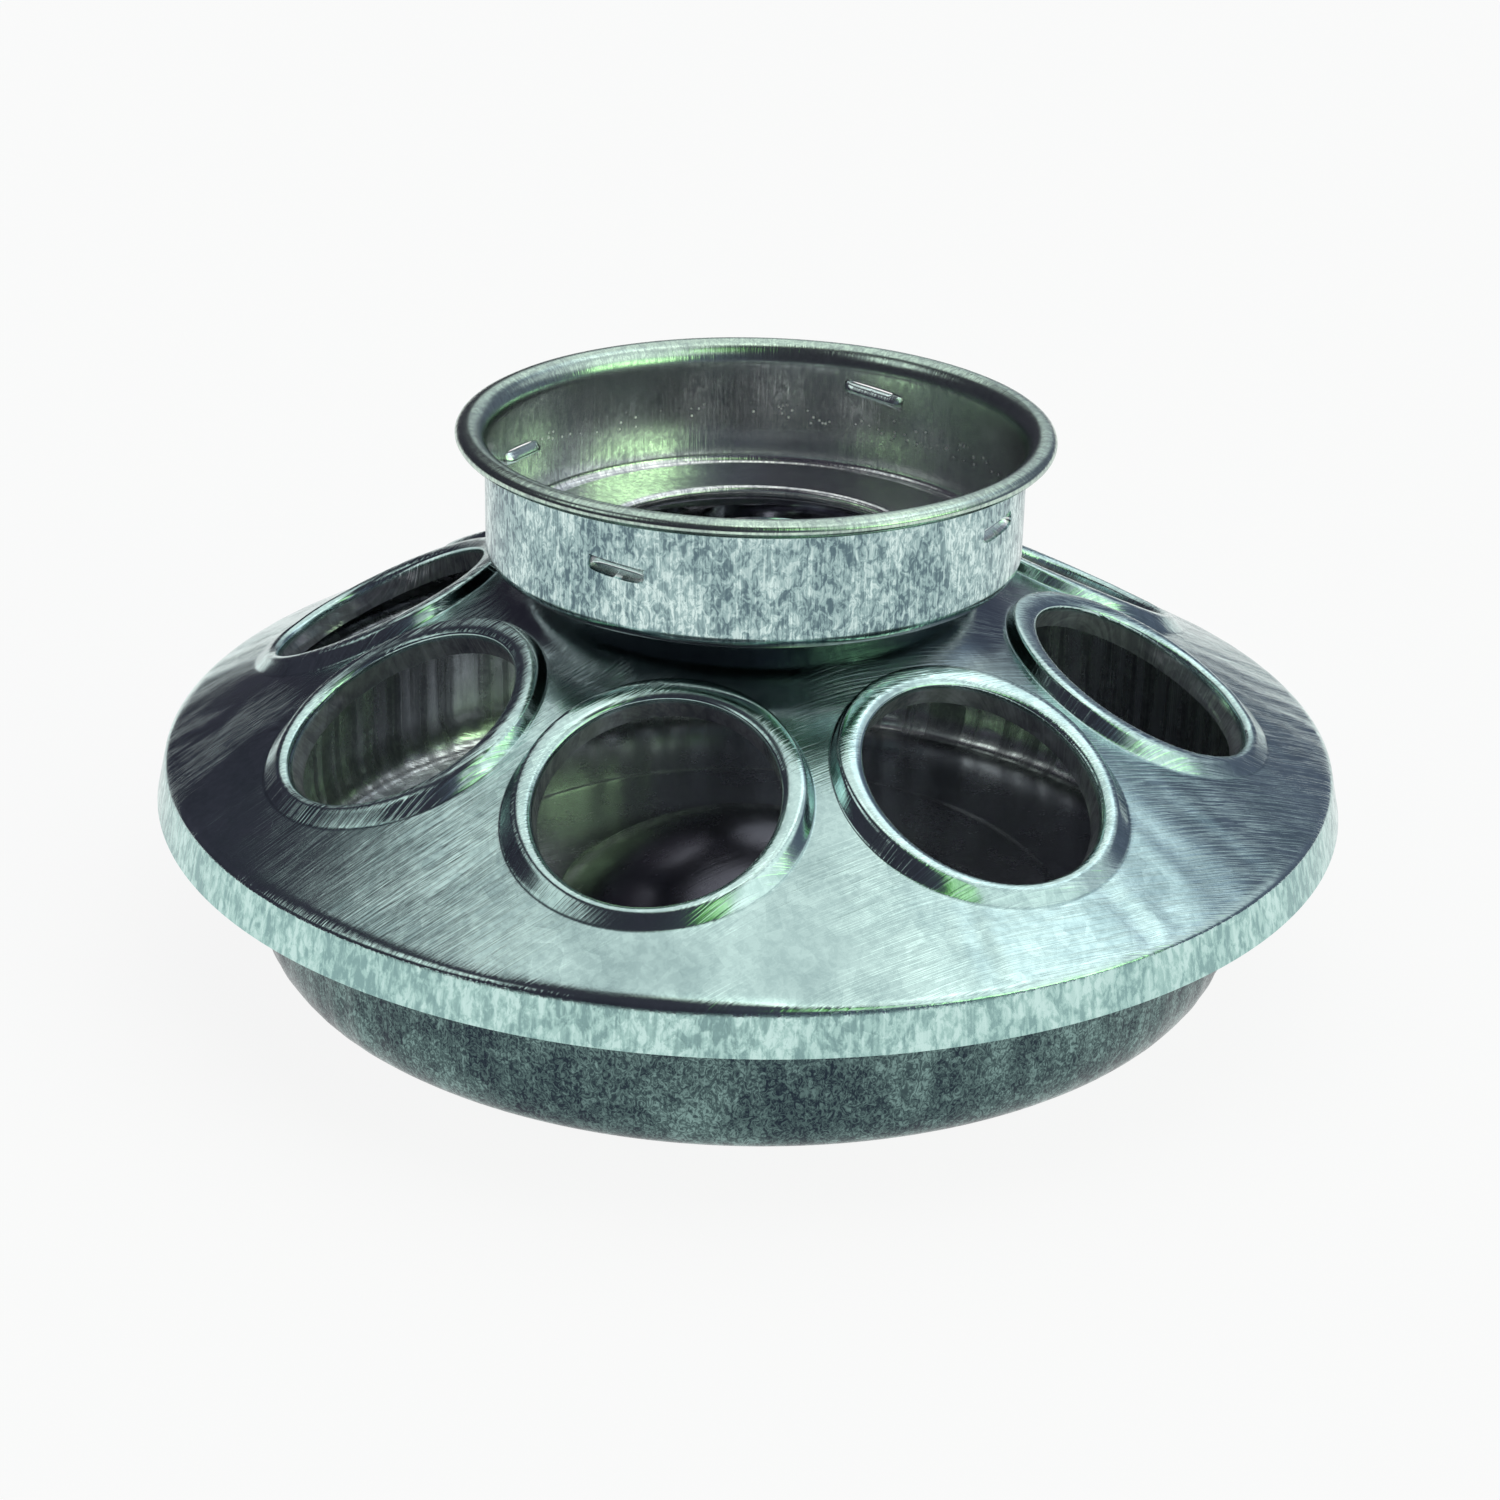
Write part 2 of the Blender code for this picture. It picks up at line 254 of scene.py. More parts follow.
def turned(profile: np.ndarray, columns: int | np.ndarray, marks: dict[str, np.ndarray]) -> Patch:
    """Turn a profile about the feeder's axis.

    Args:
        profile: points as (radius, height), in rows.
        columns: how many equal steps to turn it in, or the angles to turn it to.
        marks: values for each point of the profile, by name.

    Returns:
        The patch.
    """
    angles = columns if isinstance(columns, np.ndarray) else np.arange(columns) * TURN / columns
    ahead = np.stack([np.sin(angles), -np.cos(angles)], axis=-1)
    radii = profile[:, 0][:, None, None] * ahead[None]
    heights = np.repeat(profile[:, 1][:, None], len(angles), axis=1)
    points = np.concatenate([radii, heights[..., None]], axis=-1)
    spread = {name: np.repeat(values[:, None], len(angles), axis=1) for name, values in marks.items()}
    return Patch(points, Side.RIGHT, spread)


@dataclass
class SheetPiece:
    """A piece of sheet steel that stands for one node of the frame.

    Attributes:
        node: the node that it stands for.
        body: the body that it rides on.
        slot: the record's material slot for this piece; not used.
        sheet: the sheet's thickness.
        sharp: shading stays smooth up to this angle between faces.
    """

    node: str
    body: str
    slot: str
    sheet: float = 0.5 * MM
    sharp: float = math.radians(50)

    def shape(self) -> bpy.types.Mesh:
        """Build the surface that the sheet's faces look away from."""
        raise NotImplementedError

    def rework(self, piece: bpy.types.Object) -> None:
        """Change the thick sheet, where a piece needs it."""

    def thicken(self, piece: bpy.types.Object) -> None:
        """Give the surface the sheet's thickness, and mark the new points as the sheet's back.

        Args:
            piece: the object that holds the surface.
        """
        front = len(piece.data.vertices)
        shell = piece.modifiers.new("sheet", "SOLIDIFY")
        shell.thickness = self.sheet
        shell.offset = -1.0
        shell.use_even_offset = True
        self.settle(piece)
        back = np.zeros(len(piece.data.vertices), dtype=np.float32)
        back[front:] = 1.0
        piece.data.attributes.new("back", "FLOAT", "POINT").data.foreach_set("value", back)

    def settle(self, piece: bpy.types.Object) -> None:
        """Put the modifiers' result into the object's own mesh.

        Args:
            piece: the object to settle.
        """
        graph = bpy.context.evaluated_depsgraph_get()
        mesh = bpy.data.meshes.new_from_object(piece.evaluated_get(graph))
        mesh.name = piece.name
        piece.modifiers.clear()
        piece.data = mesh

    def build(self, finish: "Finish") -> bpy.types.Object:
        """Build the piece, dress it and fasten it to the frame.

        Args:
            finish: the finish of its surface.

        Returns:
            The finished object.
        """
        piece = bpy.data.objects.new(self.node + "_sheet", self.shape())
        bpy.context.scene.collection.objects.link(piece)
        self.thicken(piece)
        self.rework(piece)
        piece.data.materials.clear()
        piece.data.materials.append(finish.material())
        piece.data.shade_smooth()
        piece.data.set_sharp_from_angle(angle=self.sharp)
        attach(piece, self.body)
        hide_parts(self.node)
        LOG.info("built %s with %d faces", piece.name, len(piece.data.polygons))
        return piece


@dataclass
class FeedPan(SheetPiece):
    """The drawn pan: flange, wall, rounded foot, trough and dome."""

    node: str = "feed_pan"
    body: str = "pan"
    slot: str = "pan_zinc"
    depth: float = 27.5 * MM
    flange_radius: float = 79.4 * MM
    radius: float = 69.3 * MM
    flange_bend: float = 1.5 * MM
    corner: Pair = (4.2 * MM, 7.9 * MM)
    trough_width: float = 19.2 * MM
    step_rise: float = 0.8 * MM
    step_run: float = 1.2 * MM
    floor_rise: float = 0.6 * MM
    dome_radius: float = 26.5 * MM
    dome_rise: float = 10.1 * MM
    dome_bend: float = 0.5 * MM
    columns: int = 360
    spacing: float = 1.2 * MM
    draw_marks: int = 74
    draw_depth: float = 0.11 * MM
    floor_swell: float = 0.12 * MM

    def profile(self) -> np.ndarray:
        """Under and outer face, from the flange's edge down and in to the axis.

        Returns:
            The points, as (radius, height) rows.
        """
        under = self.depth - self.sheet
        points = [(self.flange_radius, under), (self.radius + self.flange_bend, under)]
        middle = (self.radius + self.flange_bend, under - self.flange_bend)
        points += arc(middle, (self.flange_bend, self.flange_bend), 90, 180, 6)
        foot = (self.radius - self.corner[0], self.corner[1])
        points.append((self.radius, self.corner[1]))
        points += arc(foot, self.corner, 0, -90, 14)
        edge = foot[0] - self.trough_width
        step = (edge - self.step_run, self.step_rise)
        halfway = (edge - self.step_run / 2, self.step_rise / 2)
        points += bend((edge + self.step_run, 0.0), (edge, 0.0), halfway, 4)
        points += bend(halfway, step, (step[0] - self.step_run, self.step_rise), 4)[1:]
        dome_foot = self.step_rise + self.floor_rise
        sphere = (self.dome_radius ** 2 + self.dome_rise ** 2) / (2 * self.dome_rise)
        steepest = math.asin(self.dome_radius / sphere)
        start = (self.dome_radius + self.dome_bend, dome_foot)
        bent = (self.dome_radius - self.dome_bend * math.cos(steepest),
                dome_foot + self.dome_bend * math.sin(steepest))
        points += bend(start, (self.dome_radius, dome_foot), bent, 4)
        for i in range(1, 25):
            tilt = steepest * (1 - i / 24)
            drop = sphere * (1 - math.cos(tilt))
            points.append((sphere * math.sin(tilt), dome_foot + self.dome_rise - drop))
        return refine(points, self.spacing)

    def shape(self) -> bpy.types.Mesh:
        """Turn the profile, with the draw marks and swells of thin sheet.

        Returns:
            The pan's under and outer face.
        """
        patch = turned(self.profile(), self.columns, {})
        flat = patch.points.reshape(-1, 3)
        radius, angle = polar(flat)
        wall = smooth(self.radius - 3 * MM, self.radius - 0.5 * MM, radius)
        wall = wall * (1 - smooth(self.depth - 7 * MM, self.depth - 2 * MM, flat[:, 2]))
        swell = roughly(flat * [1, 1, 0.25], 11 * MM, 3.0)
        pleat = np.sin(self.draw_marks * angle + 2.2 * swell) * (0.5 + 0.8 * swell)
        push = wall * self.draw_depth * (pleat + 1.4 * swell)
        flat[:, :2] *= (1 + push / np.maximum(radius, MM))[:, None]
        floor = smooth(3 * MM, 8 * MM, radius) * (1 - smooth(40 * MM, 48 * MM, radius))
        flat[:, 2] += floor * self.floor_swell * roughly(flat, 16 * MM, 9.0)
        patch.points = flat.reshape(patch.points.shape)
        return weld([patch], self.node)


@dataclass(frozen=True)
class Pleats:
    """Shallow waves that the press leaves in the cone, running down its slope.

    Attributes:
        middle: their place round the cover, in degrees.
        reach: how far to each side they fade out.
        waves: how many would go round the whole cover.
        depth: their height, from the sheet's true form.
        start: how far from the axis they start.
    """

    middle: float
    reach: float
    waves: float
    depth: float
    start: float


@dataclass
class PerforatedCover(SheetPiece):
    """The pressed cover: a cone with eight raised feed holes, a skirt and a neck."""

    node: str = "perforated_cover"
    body: str = "cover"
    slot: str = "cover_zinc"
    holes: int = 8
    pitch_radius: float = 53.57 * MM
    ring_radius: float = 16.95 * MM
    ring_stretch: float = 1.05
    flank: float = 2.5 * MM
    rise: float = 0.7 * MM
    nose_outer: Pair = (1.2 * MM, 1.1 * MM)
    nose_inner: Pair = (1.75 * MM, 0.45 * MM)
    lip_depth: float = 3.8 * MM
    lip_taper: float = 1.7 * MM
    lip_turn: float = math.radians(82)
    slope: float = math.radians(26.4)
    crease_radius: float = 80.7 * MM
    crease_height: float = 27.72 * MM
    crease_bend: float = 0.6 * MM
    shoulder: float = 1.9 * MM
    skirt_drop: float = 5.9 * MM
    skirt_flare: float = 1.35 * MM
    neck_radius: float = 25.9 * MM
    neck_bend: float = 0.8 * MM
    sag: float = 1.2 * MM
    sag_start: float = 54 * MM
    sag_full: float = 37 * MM
    sag_end: Pair = (36 * MM, 28 * MM)
    throat_edge: float = 23.4 * MM
    ring_columns: int = 144
    cone_rows: int = 13
    foot_bend: float = 0.28 * MM
    pleats: Sequence[Pleats] = (
        Pleats(70.0, 26.0, 62.0, 0.045 * MM, 50 * MM),
        Pleats(112.0, 16.0, 74.0, 0.08 * MM, 58 * MM),
        Pleats(34.5, 2.4, 96.0, 0.08 * MM, 64 * MM),
        Pleats(50.5, 3.0, 84.0, 0.10 * MM, 66 * MM),
        Pleats(-100.0, 16.0, 58.0, 0.05 * MM, 60 * MM),
        Pleats(180.0, 60.0, 50.0, 0.03 * MM, 60 * MM),
    )

    def cone_height(self, radius: np.ndarray | float) -> np.ndarray | float:
        """Height of the cone's upper face at a radius."""
        return self.crease_height + (self.crease_radius - radius) * math.tan(self.slope)

    def edges(self) -> Pair:
        """Radii where the cone runs into the crease's bend and into the neck's."""
        return self.crease_radius - self.shoulder, self.neck_radius + self.neck_bend

    def corner_turns(self) -> tuple[int, int]:
        """Columns round a hole where its sector has corners.

        Returns:
            The column where the outer arc ends and the one where the inner arc starts.
        """
        half = TURN / self.holes / 2
        step = TURN / self.ring_columns
        turns = [math.atan2(radius * math.sin(half), radius * math.cos(half) - self.pitch_radius)
                 for radius in self.edges()]
        return round(turns[0] / step), round(turns[1] / step)

    def outline(self) -> np.ndarray:
        """Outline of one hole's share of the cone.

        Returns:
            The points, as (across, outwards) rows.
        """
        half = TURN / self.holes / 2
        outer, inner = self.edges()
        outer_last, inner_first = self.corner_turns()
        last = self.ring_columns // 2
        points = []
        for i in range(last + 1):
            if i <= outer_last:
                place = (outer, half * i / outer_last)
            elif i >= inner_first:
                place = (inner, half * (last - i) / (last - inner_first))
            else:
                turn = TURN * i / self.ring_columns
                place = (self.pitch_radius * math.sin(turn) / math.sin(turn - half), half)
            points.append((place[0] * math.sin(place[1]), place[0] * math.cos(place[1])))
        mirrored = [(-across, out) for across, out in points[-2:0:-1]]
        return np.array(points + mirrored)

    def lift(self, flat: np.ndarray) -> np.ndarray:
        """Put points on the cone, which flattens a little towards the collar.

        Args:
            flat: the points, as (across, outwards) rows.

        Returns:
            The points, as (across, outwards, height) rows.
        """
        radius = np.hypot(flat[:, 0], flat[:, 1])
        inward = np.clip((self.sag_start - radius) / (self.sag_start - self.sag_full), 0.0, 1.0)
        sag = self.sag * inward ** 2 * smooth(self.sag_end[1], self.sag_end[0], radius)
        return np.column_stack([flat, self.cone_height(radius) - sag])

    def ring_point(self, turns: np.ndarray, growth: np.ndarray | float,
                   height: np.ndarray | float) -> np.ndarray:
        """Points of a ring, from the plane that touches the cone at the hole's middle.

        Args:
            turns: angles round the hole, from its outermost point.
            growth: how far outside the crest the points are.
            height: how far above the plane they are.

        Returns:
            The points as (across, outwards, height) rows.
        """
        across = (self.ring_radius + growth) * np.sin(turns)
        along = (self.ring_radius * self.ring_stretch + growth) * np.cos(turns)
        out = self.pitch_radius + along * math.cos(self.slope) + height * math.sin(self.slope)
        drop = along * math.sin(self.slope) - height * math.cos(self.slope)
        return np.column_stack([across, out, self.cone_height(self.pitch_radius) - drop])

    def nose_start(self, turns: np.ndarray, foot: np.ndarray) -> np.ndarray:
        """Angle on the nose's ellipse at each column, where the flank runs smoothly into it.

        Args:
            turns: angles round the hole.
            foot: the flank's foot, as (across, outwards, height) rows.

        Returns:
            The angle in radians, 0 at the crest.
        """
        normal = np.array([0.0, math.sin(self.slope), math.cos(self.slope)])
        wide, tall = self.nose_size(turns)
        tilt = np.full(len(turns), 0.4)
        for _ in range(12):
            span = self.nose_point(turns, -tilt) - foot
            climb = span @ normal
            level = np.linalg.norm(span - climb[:, None] * normal, axis=1)
            tilt = (tilt + np.arctan2(climb * wide, level * tall)) / 2
        return tilt

    def nose_size(self, turns: np.ndarray) -> tuple[np.ndarray, np.ndarray]:
        """Half axes of the nose at each column, flatter on the collar's side of the hole.

        Args:
            turns: angles round the hole.

        Returns:
            The axis along the plane of the ring and the upright one.
        """
        share = 0.5 - 0.5 * np.cos(turns)
        wide = self.nose_outer[0] + (self.nose_inner[0] - self.nose_outer[0]) * share
        tall = self.nose_outer[1] + (self.nose_inner[1] - self.nose_outer[1]) * share
        return wide, tall

    def nose_point(self, turns: np.ndarray, slant: np.ndarray) -> np.ndarray:
        """Points of the nose at angles on its ellipse, 0 at the crest and rising towards the hole."""
        wide, tall = self.nose_size(turns)
        return self.ring_point(turns, -wide * np.sin(slant), self.rise - tall * (1 - np.cos(slant)))

    def sector(self) -> tuple[np.ndarray, dict[str, np.ndarray]]:
        """Shape one hole's share of the cone, from its outline to its hole's lip.

        Returns:
            Its points, as rows x columns x (across, outwards, height), and its marks: zone
            grows from 0 on the cone to 1 on the ring and 2 on the lip, and wear_sheen_and_shade
            is 1 on the crest, as polish wear and painted highlight, and -1 at the ring's foot, as
            painted shade in the crease.
        """
        turns = np.arange(self.ring_columns) * TURN / self.ring_columns
        outline = self.outline()
        foot_flat = np.column_stack([
            (self.ring_radius + self.flank) * np.sin(turns),
            self.pitch_radius + (self.ring_radius * self.ring_stretch + self.flank)
            * np.cos(turns) * math.cos(self.slope)])
        foot = self.lift(foot_flat)
        tilt = self.nose_start(turns, foot)
        top = self.nose_point(turns, -tilt)
        rows: list[tuple[np.ndarray, float, float]] = []
        reach = np.linalg.norm(outline - foot_flat, axis=1)[:, None]
        near = 1 - self.foot_bend / reach
        for i in range(self.cone_rows):
            share = 1 - (1 - i / self.cone_rows) ** 1.5
            rows.append((self.lift(outline + (foot_flat - outline) * share * near), 0.0, 0.0))
        before = self.lift(outline + (foot_flat - outline) * near)
        flank = top - foot
        width = np.linalg.norm(flank, axis=1)[:, None]
        after = foot + flank * self.foot_bend / width
        # the bend at the ring's foot: its mark is painted shade, darkest midway round the crease
        for i in range(5):
            t = i / 4
            row = (1 - t) ** 2 * before + 2 * t * (1 - t) * foot + t * t * after
            rows.append((row, t, -t * (1 - t) * 4))
        for share in (0.3, 0.5, 0.7, 0.88):
            rows.append((foot + flank * share, 1.0, 0.0))
        for i in range(11):
            share = i / 10
            slant = -tilt + (self.lip_turn + tilt) * share
            # on the nose the mark is polish wear and a painted highlight along the crest
            polish_and_sheen = math.sin(math.pi * min(1.0, share * 1.2))
            rows.append((self.nose_point(turns, slant), 1.0, polish_and_sheen))
        wide, tall = self.nose_size(turns)
        start = (wide * math.sin(self.lip_turn), tall * (1 - math.cos(self.lip_turn)))
        for i in range(1, 8):
            share = i / 7
            growth = -start[0] - (self.lip_taper - start[0]) * (share - 0.11 * math.sin(TURN * share))
            height = self.rise - start[1] - (self.lip_depth - start[1]) * share
            rows.append((self.ring_point(turns, growth, height), 1.0 + min(1.0, 2 * share), 0.0))
        points, zone, wear_sheen_and_shade = zip(*rows)
        marks = {name: np.repeat(np.array(values)[:, None], len(turns), axis=1)
                 for name, values in (("zone", zone), ("wear_sheen_and_shade", wear_sheen_and_shade))}
        return np.stack(points), marks

    def skirt(self) -> Patch:
        """Turn the crease's bend and the skirt, down to its raw edge.

        Returns:
            The patch, whose zone is -1 on the skirt.
        """
        start = (self.edges()[0], self.cone_height(self.edges()[0]))
        spread = self.skirt_flare / self.skirt_drop
        end = (self.crease_radius + self.crease_bend * spread, self.crease_height - self.crease_bend)
        profile = bend(start, (self.crease_radius, self.crease_height), end, 9)
        edge = (self.crease_radius + self.skirt_flare, self.crease_height - self.skirt_drop)
        profile = np.array(profile[:-1] + refine([end, edge], 0.6 * MM).tolist())
        # a painted highlight along the crease's bend, partly a worn edge
        crease_sheen = np.exp(-((np.arange(len(profile)) - 5.0) / 2.0) ** 2)
        zone = np.where(np.arange(len(profile)) > 8, -1.0, 0.0)
        columns = self.holes * 2 * self.corner_turns()[0]
        return turned(profile, columns, {"zone": zone, "wear_sheen_and_shade": crease_sheen})

    def neck(self) -> Patch:
        """Turn the bend up to the neck's flat, and the flat, under the collar.

        Returns:
            The patch.
        """
        outer = self.edges()[1]
        top = self.cone_height(self.neck_radius)
        profile = bend((outer, self.cone_height(outer)), (self.neck_radius, top),
                       (self.neck_radius - self.neck_bend, top), 5)
        profile = np.array(profile + [(self.throat_edge, top)])
        flat = np.zeros(len(profile))
        columns = self.holes * 2 * (self.ring_columns // 2 - self.corner_turns()[1])
        patch = turned(profile, columns, {"zone": flat, "wear_sheen_and_shade": flat})
        patch.side = Side.LEFT
        return patch

    def unevenness(self, points: np.ndarray) -> np.ndarray:
        """How far the pressed sheet stands off its true form, outwards along the cone's normal.

        Args:
            points: one row for each point.

        Returns:
            The distance at each point.
        """
        radius, angle = polar(points)
        degrees = np.degrees(angle)
        inside_rim = 1 - smooth(79.4 * MM, 80.6 * MM, radius)
        cone = smooth(38 * MM, 50 * MM, radius) * inside_rim
        swell = roughly(points, 24 * MM, 5.0)
        fine = roughly(points, 9 * MM, 1.0)
        lift = cone * (0.16 * swell + 0.03 * fine) * MM
        for pleat in self.pleats:
            near = np.exp(-((degrees - pleat.middle) / pleat.reach) ** 2)
            wave = np.sin(angle * pleat.waves + 2.4 * fine + pleat.middle)
            lift += near * smooth(pleat.start, 76 * MM, radius) * inside_rim * pleat.depth * wave
        return lift

    def shape(self) -> bpy.types.Mesh:
        """Set the sectors round the axis, add the skirt and the neck, and dent the sheet.

        Returns:
            The cover's upper face.
        """
        rows, marks = self.sector()
        patches = [self.skirt(), self.neck()]
        for index in range(self.holes):
            turn = TURN * index / self.holes
            ways = np.array([(math.cos(turn), math.sin(turn), 0.0),
                             (math.sin(turn), -math.cos(turn), 0.0),
                             (0.0, 0.0, 1.0)])
            patches.append(Patch(rows @ ways, Side.LEFT, marks))
        for patch in patches:
            flat = patch.points.reshape(-1, 3)
            radius = np.maximum(polar(flat)[0], MM)
            normal = np.column_stack([flat[:, :2] / radius[:, None] * math.sin(self.slope),
                                      np.full(len(flat), math.cos(self.slope))])
            flat = flat + normal * self.unevenness(flat)[:, None]
            patch.points = flat.reshape(patch.points.shape)
        return weld(patches, self.node)


@dataclass
class Lug:
    """One lanced thread lug of the collar.

    Attributes:
        turn: its place round the collar, in degrees.
        height: the middle of its cut edge.
        climb: how its cut edge climbs, anticlockwise, in degrees.
    """

    turn: float
    height: float
    climb: float


@dataclass
class JarCollar(SheetPiece):
    """The jar collar: floor, groove, wall, rolled bead, eyelet and lanced lugs."""

    node: str = "jar_collar"
    body: str = "cover"
    slot: str = "collar_zinc"
    throat_radius: float = 22.6 * MM
    eyelet_bend: float = 0.9 * MM
    fold_edge: float = 25.1 * MM
    floor_height: float = 55.72 * MM
    radius: float = 36.5 * MM
    height: float = 17.2 * MM
    groove_depth: float = 0.9 * MM
    groove_run: float = 1.6 * MM
    groove_bend: float = 1.5 * MM
    bead_width: float = 3.5 * MM
    bead_height: float = 2.3 * MM
    bead_flare: float = 0.9 * MM
    flare_height: float = 3.4 * MM
    columns: int = 300
    spacing: float = 0.9 * MM
    lug_length: float = 10.0 * MM
    lug_depth: float = 1.4 * MM
    lug_height: float = 2.0 * MM
    lug_slit: float = 0.12 * MM
    swell: float = 0.07 * MM
    lugs: Sequence[Lug] = (
        Lug(-101.5, 63.75 * MM, 4.6),
        Lug(-16.3, 64.32 * MM, -4.0),
        Lug(72.7, 65.94 * MM, 2.3),
        Lug(163.9, 67.85 * MM, 7.0),
    )

    def profile(self) -> np.ndarray:
        """Inner face, from the eyelet's folded edge up to the end of the bead.

        Returns:
            The points, as (radius, height) rows.
        """
        fold = self.floor_height - 3 * self.sheet - 0.6 * MM
        size = (self.eyelet_bend, self.eyelet_bend)
        reach = self.throat_radius + self.eyelet_bend
        points = [(self.fold_edge, fold), (reach, fold)]
        points += arc((reach, fold + self.eyelet_bend), size, 270, 180, 6)
        points.append((self.throat_radius, self.floor_height - self.eyelet_bend))
        points += arc((reach, self.floor_height - self.eyelet_bend), size, 180, 90, 8)
        inside = self.radius - self.sheet
        middle = inside - self.groove_bend
        for i in range(9):
            share = i / 8
            drop = self.groove_depth * (0.5 - 0.5 * math.cos(math.pi * share))
            points.append((middle - self.groove_run * (1 - share), self.floor_height - drop))
        bottom = self.floor_height - self.groove_depth + self.groove_bend
        points += arc((middle, bottom), (self.groove_bend, self.groove_bend), -90, 0, 8)
        bead = (self.bead_width / 2, self.bead_height / 2)
        top = self.floor_height + self.height
        centre = (inside + self.bead_flare + bead[0], top - bead[1])
        flare = (self.bead_flare + bead[0], self.flare_height)
        points.append((inside, top - flare[1]))
        points += arc((centre[0], top - flare[1]), flare, 180, 90, 18)
        points += arc(centre, bead, 90, -125, 20)
        return refine(points, self.spacing)

    def shape(self) -> bpy.types.Mesh:
        """Turn the profile, a little out of true as a hand-fed press leaves it.

        Returns:
            The collar's inner face.
        """
        patch = turned(self.profile(), self.columns, {})
        flat = patch.points.reshape(-1, 3)
        radius = polar(flat)[0]
        wall = smooth(self.radius - 2 * MM, self.radius - 0.6 * MM, radius)
        push = wall * self.swell * roughly(flat * [1, 1, 0.5], 13 * MM, 2.0)
        flat[:, :2] *= (1 + push / np.maximum(radius, MM))[:, None]
        patch.points = flat.reshape(patch.points.shape)
        return weld([patch], self.node)

    def lug_place(self, lug: Lug) -> Matrix:
        """Place of a lug.

        Args:
            lug: the lug.

        Returns:
            Its frame: X along the wall, Y outwards from the axis, Z up from its cut edge.
        """
        facing = Matrix.Rotation(math.radians(lug.turn) + math.pi, 4, "Z")
        climb = Matrix.Rotation(math.radians(lug.climb), 4, "Y")
        return Matrix.Translation((0, 0, lug.height)) @ facing @ climb

    def tongues(self, name: str, section: Sequence[Pair], length: float, back: float) -> bpy.types.Object:
        """One long body at each lug, with rounded ends.

        Args:
            name: the object's name.
            section: its inner edge, as (distance from the axis, height) from the top down.
            length: how long it is at its deepest.
            back: distance from the axis of its outer face.

        Returns:
            An object that is joined to the wall, or cut from it.
        """
        stations = 13
        points, faces = [], []
        for lug in self.lugs:
            place = self.lug_place(lug)
            first = len(points)
            for i in range(stations):
                share = -1 + 2 * i / (stations - 1)
                full = (1 - abs(share) ** 7) ** 0.5
                for reach, height in section:
                    inner = back - (back - reach) * max(full, 0.02)
                    points.append(place @ Vector((share * length / 2, inner, height)))
                for reach, height in reversed(section):
                    points.append(place @ Vector((share * length / 2, back, height)))
            ring = 2 * len(section)
            for i in range(stations - 1):
                for j in range(ring):
                    a, b = first + i * ring + j, first + i * ring + (j + 1) % ring
                    faces.append((a, b, b + ring, a + ring))
            faces.append(tuple(range(first + ring - 1, first - 1, -1)))
            last = first + (stations - 1) * ring
            faces.append(tuple(range(last, last + ring)))
        mesh = bpy.data.meshes.new(name)
        mesh.from_pydata([tuple(point) for point in points], [], faces)
        tool = bpy.data.objects.new(name, mesh)
        bpy.context.scene.collection.objects.link(tool)
        return tool

    def rework(self, piece: bpy.types.Object) -> None:
        """Press the lugs into the wall, each open along its upper edge.

        Args:
            piece: the collar, which has its sheet's thickness.
        """
        inside = self.radius - self.sheet
        section = []
        for depth, drop in ((0.45, 0.0), (0.75, 0.22), (0.95, 0.42), (1.0, 0.54), (0.92, 0.64), (0.0, 1.0)):
            section.append((inside - self.lug_depth * depth, -self.lug_height * drop))
        tip = section[0][0]
        past = self.radius + self.lug_depth
        mouth = self.lug_length - 1.6 * self.sheet
        bumps = self.tongues("lug_bumps", section, self.lug_length, inside + 0.05 * MM)
        hollow = [(reach + self.sheet, height) for reach, height in section]
        hollows = self.tongues("lug_hollows", [(tip + self.sheet, self.lug_slit)] + hollow, mouth, past)
        slits = self.tongues("lug_slits", [(tip - self.sheet, self.lug_slit), (tip - self.sheet, 0.0)],
                             mouth, past)
        for tool, operation in ((bumps, "UNION"), (hollows, "DIFFERENCE"), (slits, "DIFFERENCE")):
            step = piece.modifiers.new(tool.name, "BOOLEAN")
            step.operation = operation
            step.object = tool
        self.settle(piece)
        for tool in (bumps, hollows, slits):
            bpy.data.objects.remove(tool, do_unlink=True)


class Signal:
    """A socket's value in a node tree, written as an expression."""

    def __init__(self, graph: "Graph", socket: bpy.types.NodeSocket) -> None:
        """Wrap a socket of a graph."""
        self.graph = graph
        self.socket = socket

    def __add__(self, other: "Signal | float") -> "Signal":
        """Sum of two values."""
        return self.graph.math("ADD", self, other)

    def __radd__(self, other: float) -> "Signal":
        """Sum of a number and this value."""
        return self.graph.math("ADD", other, self)

    def __sub__(self, other: "Signal | float") -> "Signal":
        """Difference of two values."""
        return self.graph.math("SUBTRACT", self, other)

    def __rsub__(self, other: float) -> "Signal":
        """Difference of a number and this value."""
        return self.graph.math("SUBTRACT", other, self)

    def __mul__(self, other: "Signal | float") -> "Signal":
        """Product of two values."""
        return self.graph.math("MULTIPLY", self, other)

    def __rmul__(self, other: float) -> "Signal":
        """Product of a number and this value."""
        return self.graph.math("MULTIPLY", other, self)

    def ramp(self, low: float, high: float, bottom: float = 0.0, top: float = 1.0) -> "Signal":
        """Smooth climb of this value between two limits.

        Args:
            low: the value where the climb starts.
            high: the value where it ends.
            bottom: the result before it.
            top: the result past it.

        Returns:
            The climb.
        """
        node = self.graph.node("ShaderNodeMapRange", {"interpolation_type": "SMOOTHSTEP"},
                               {"Value": self, "From Min": low, "From Max": high,
                                "To Min": bottom, "To Max": top})
        return Signal(self.graph, node.outputs["Result"])


Input = "Signal | float | Sequence[float]"


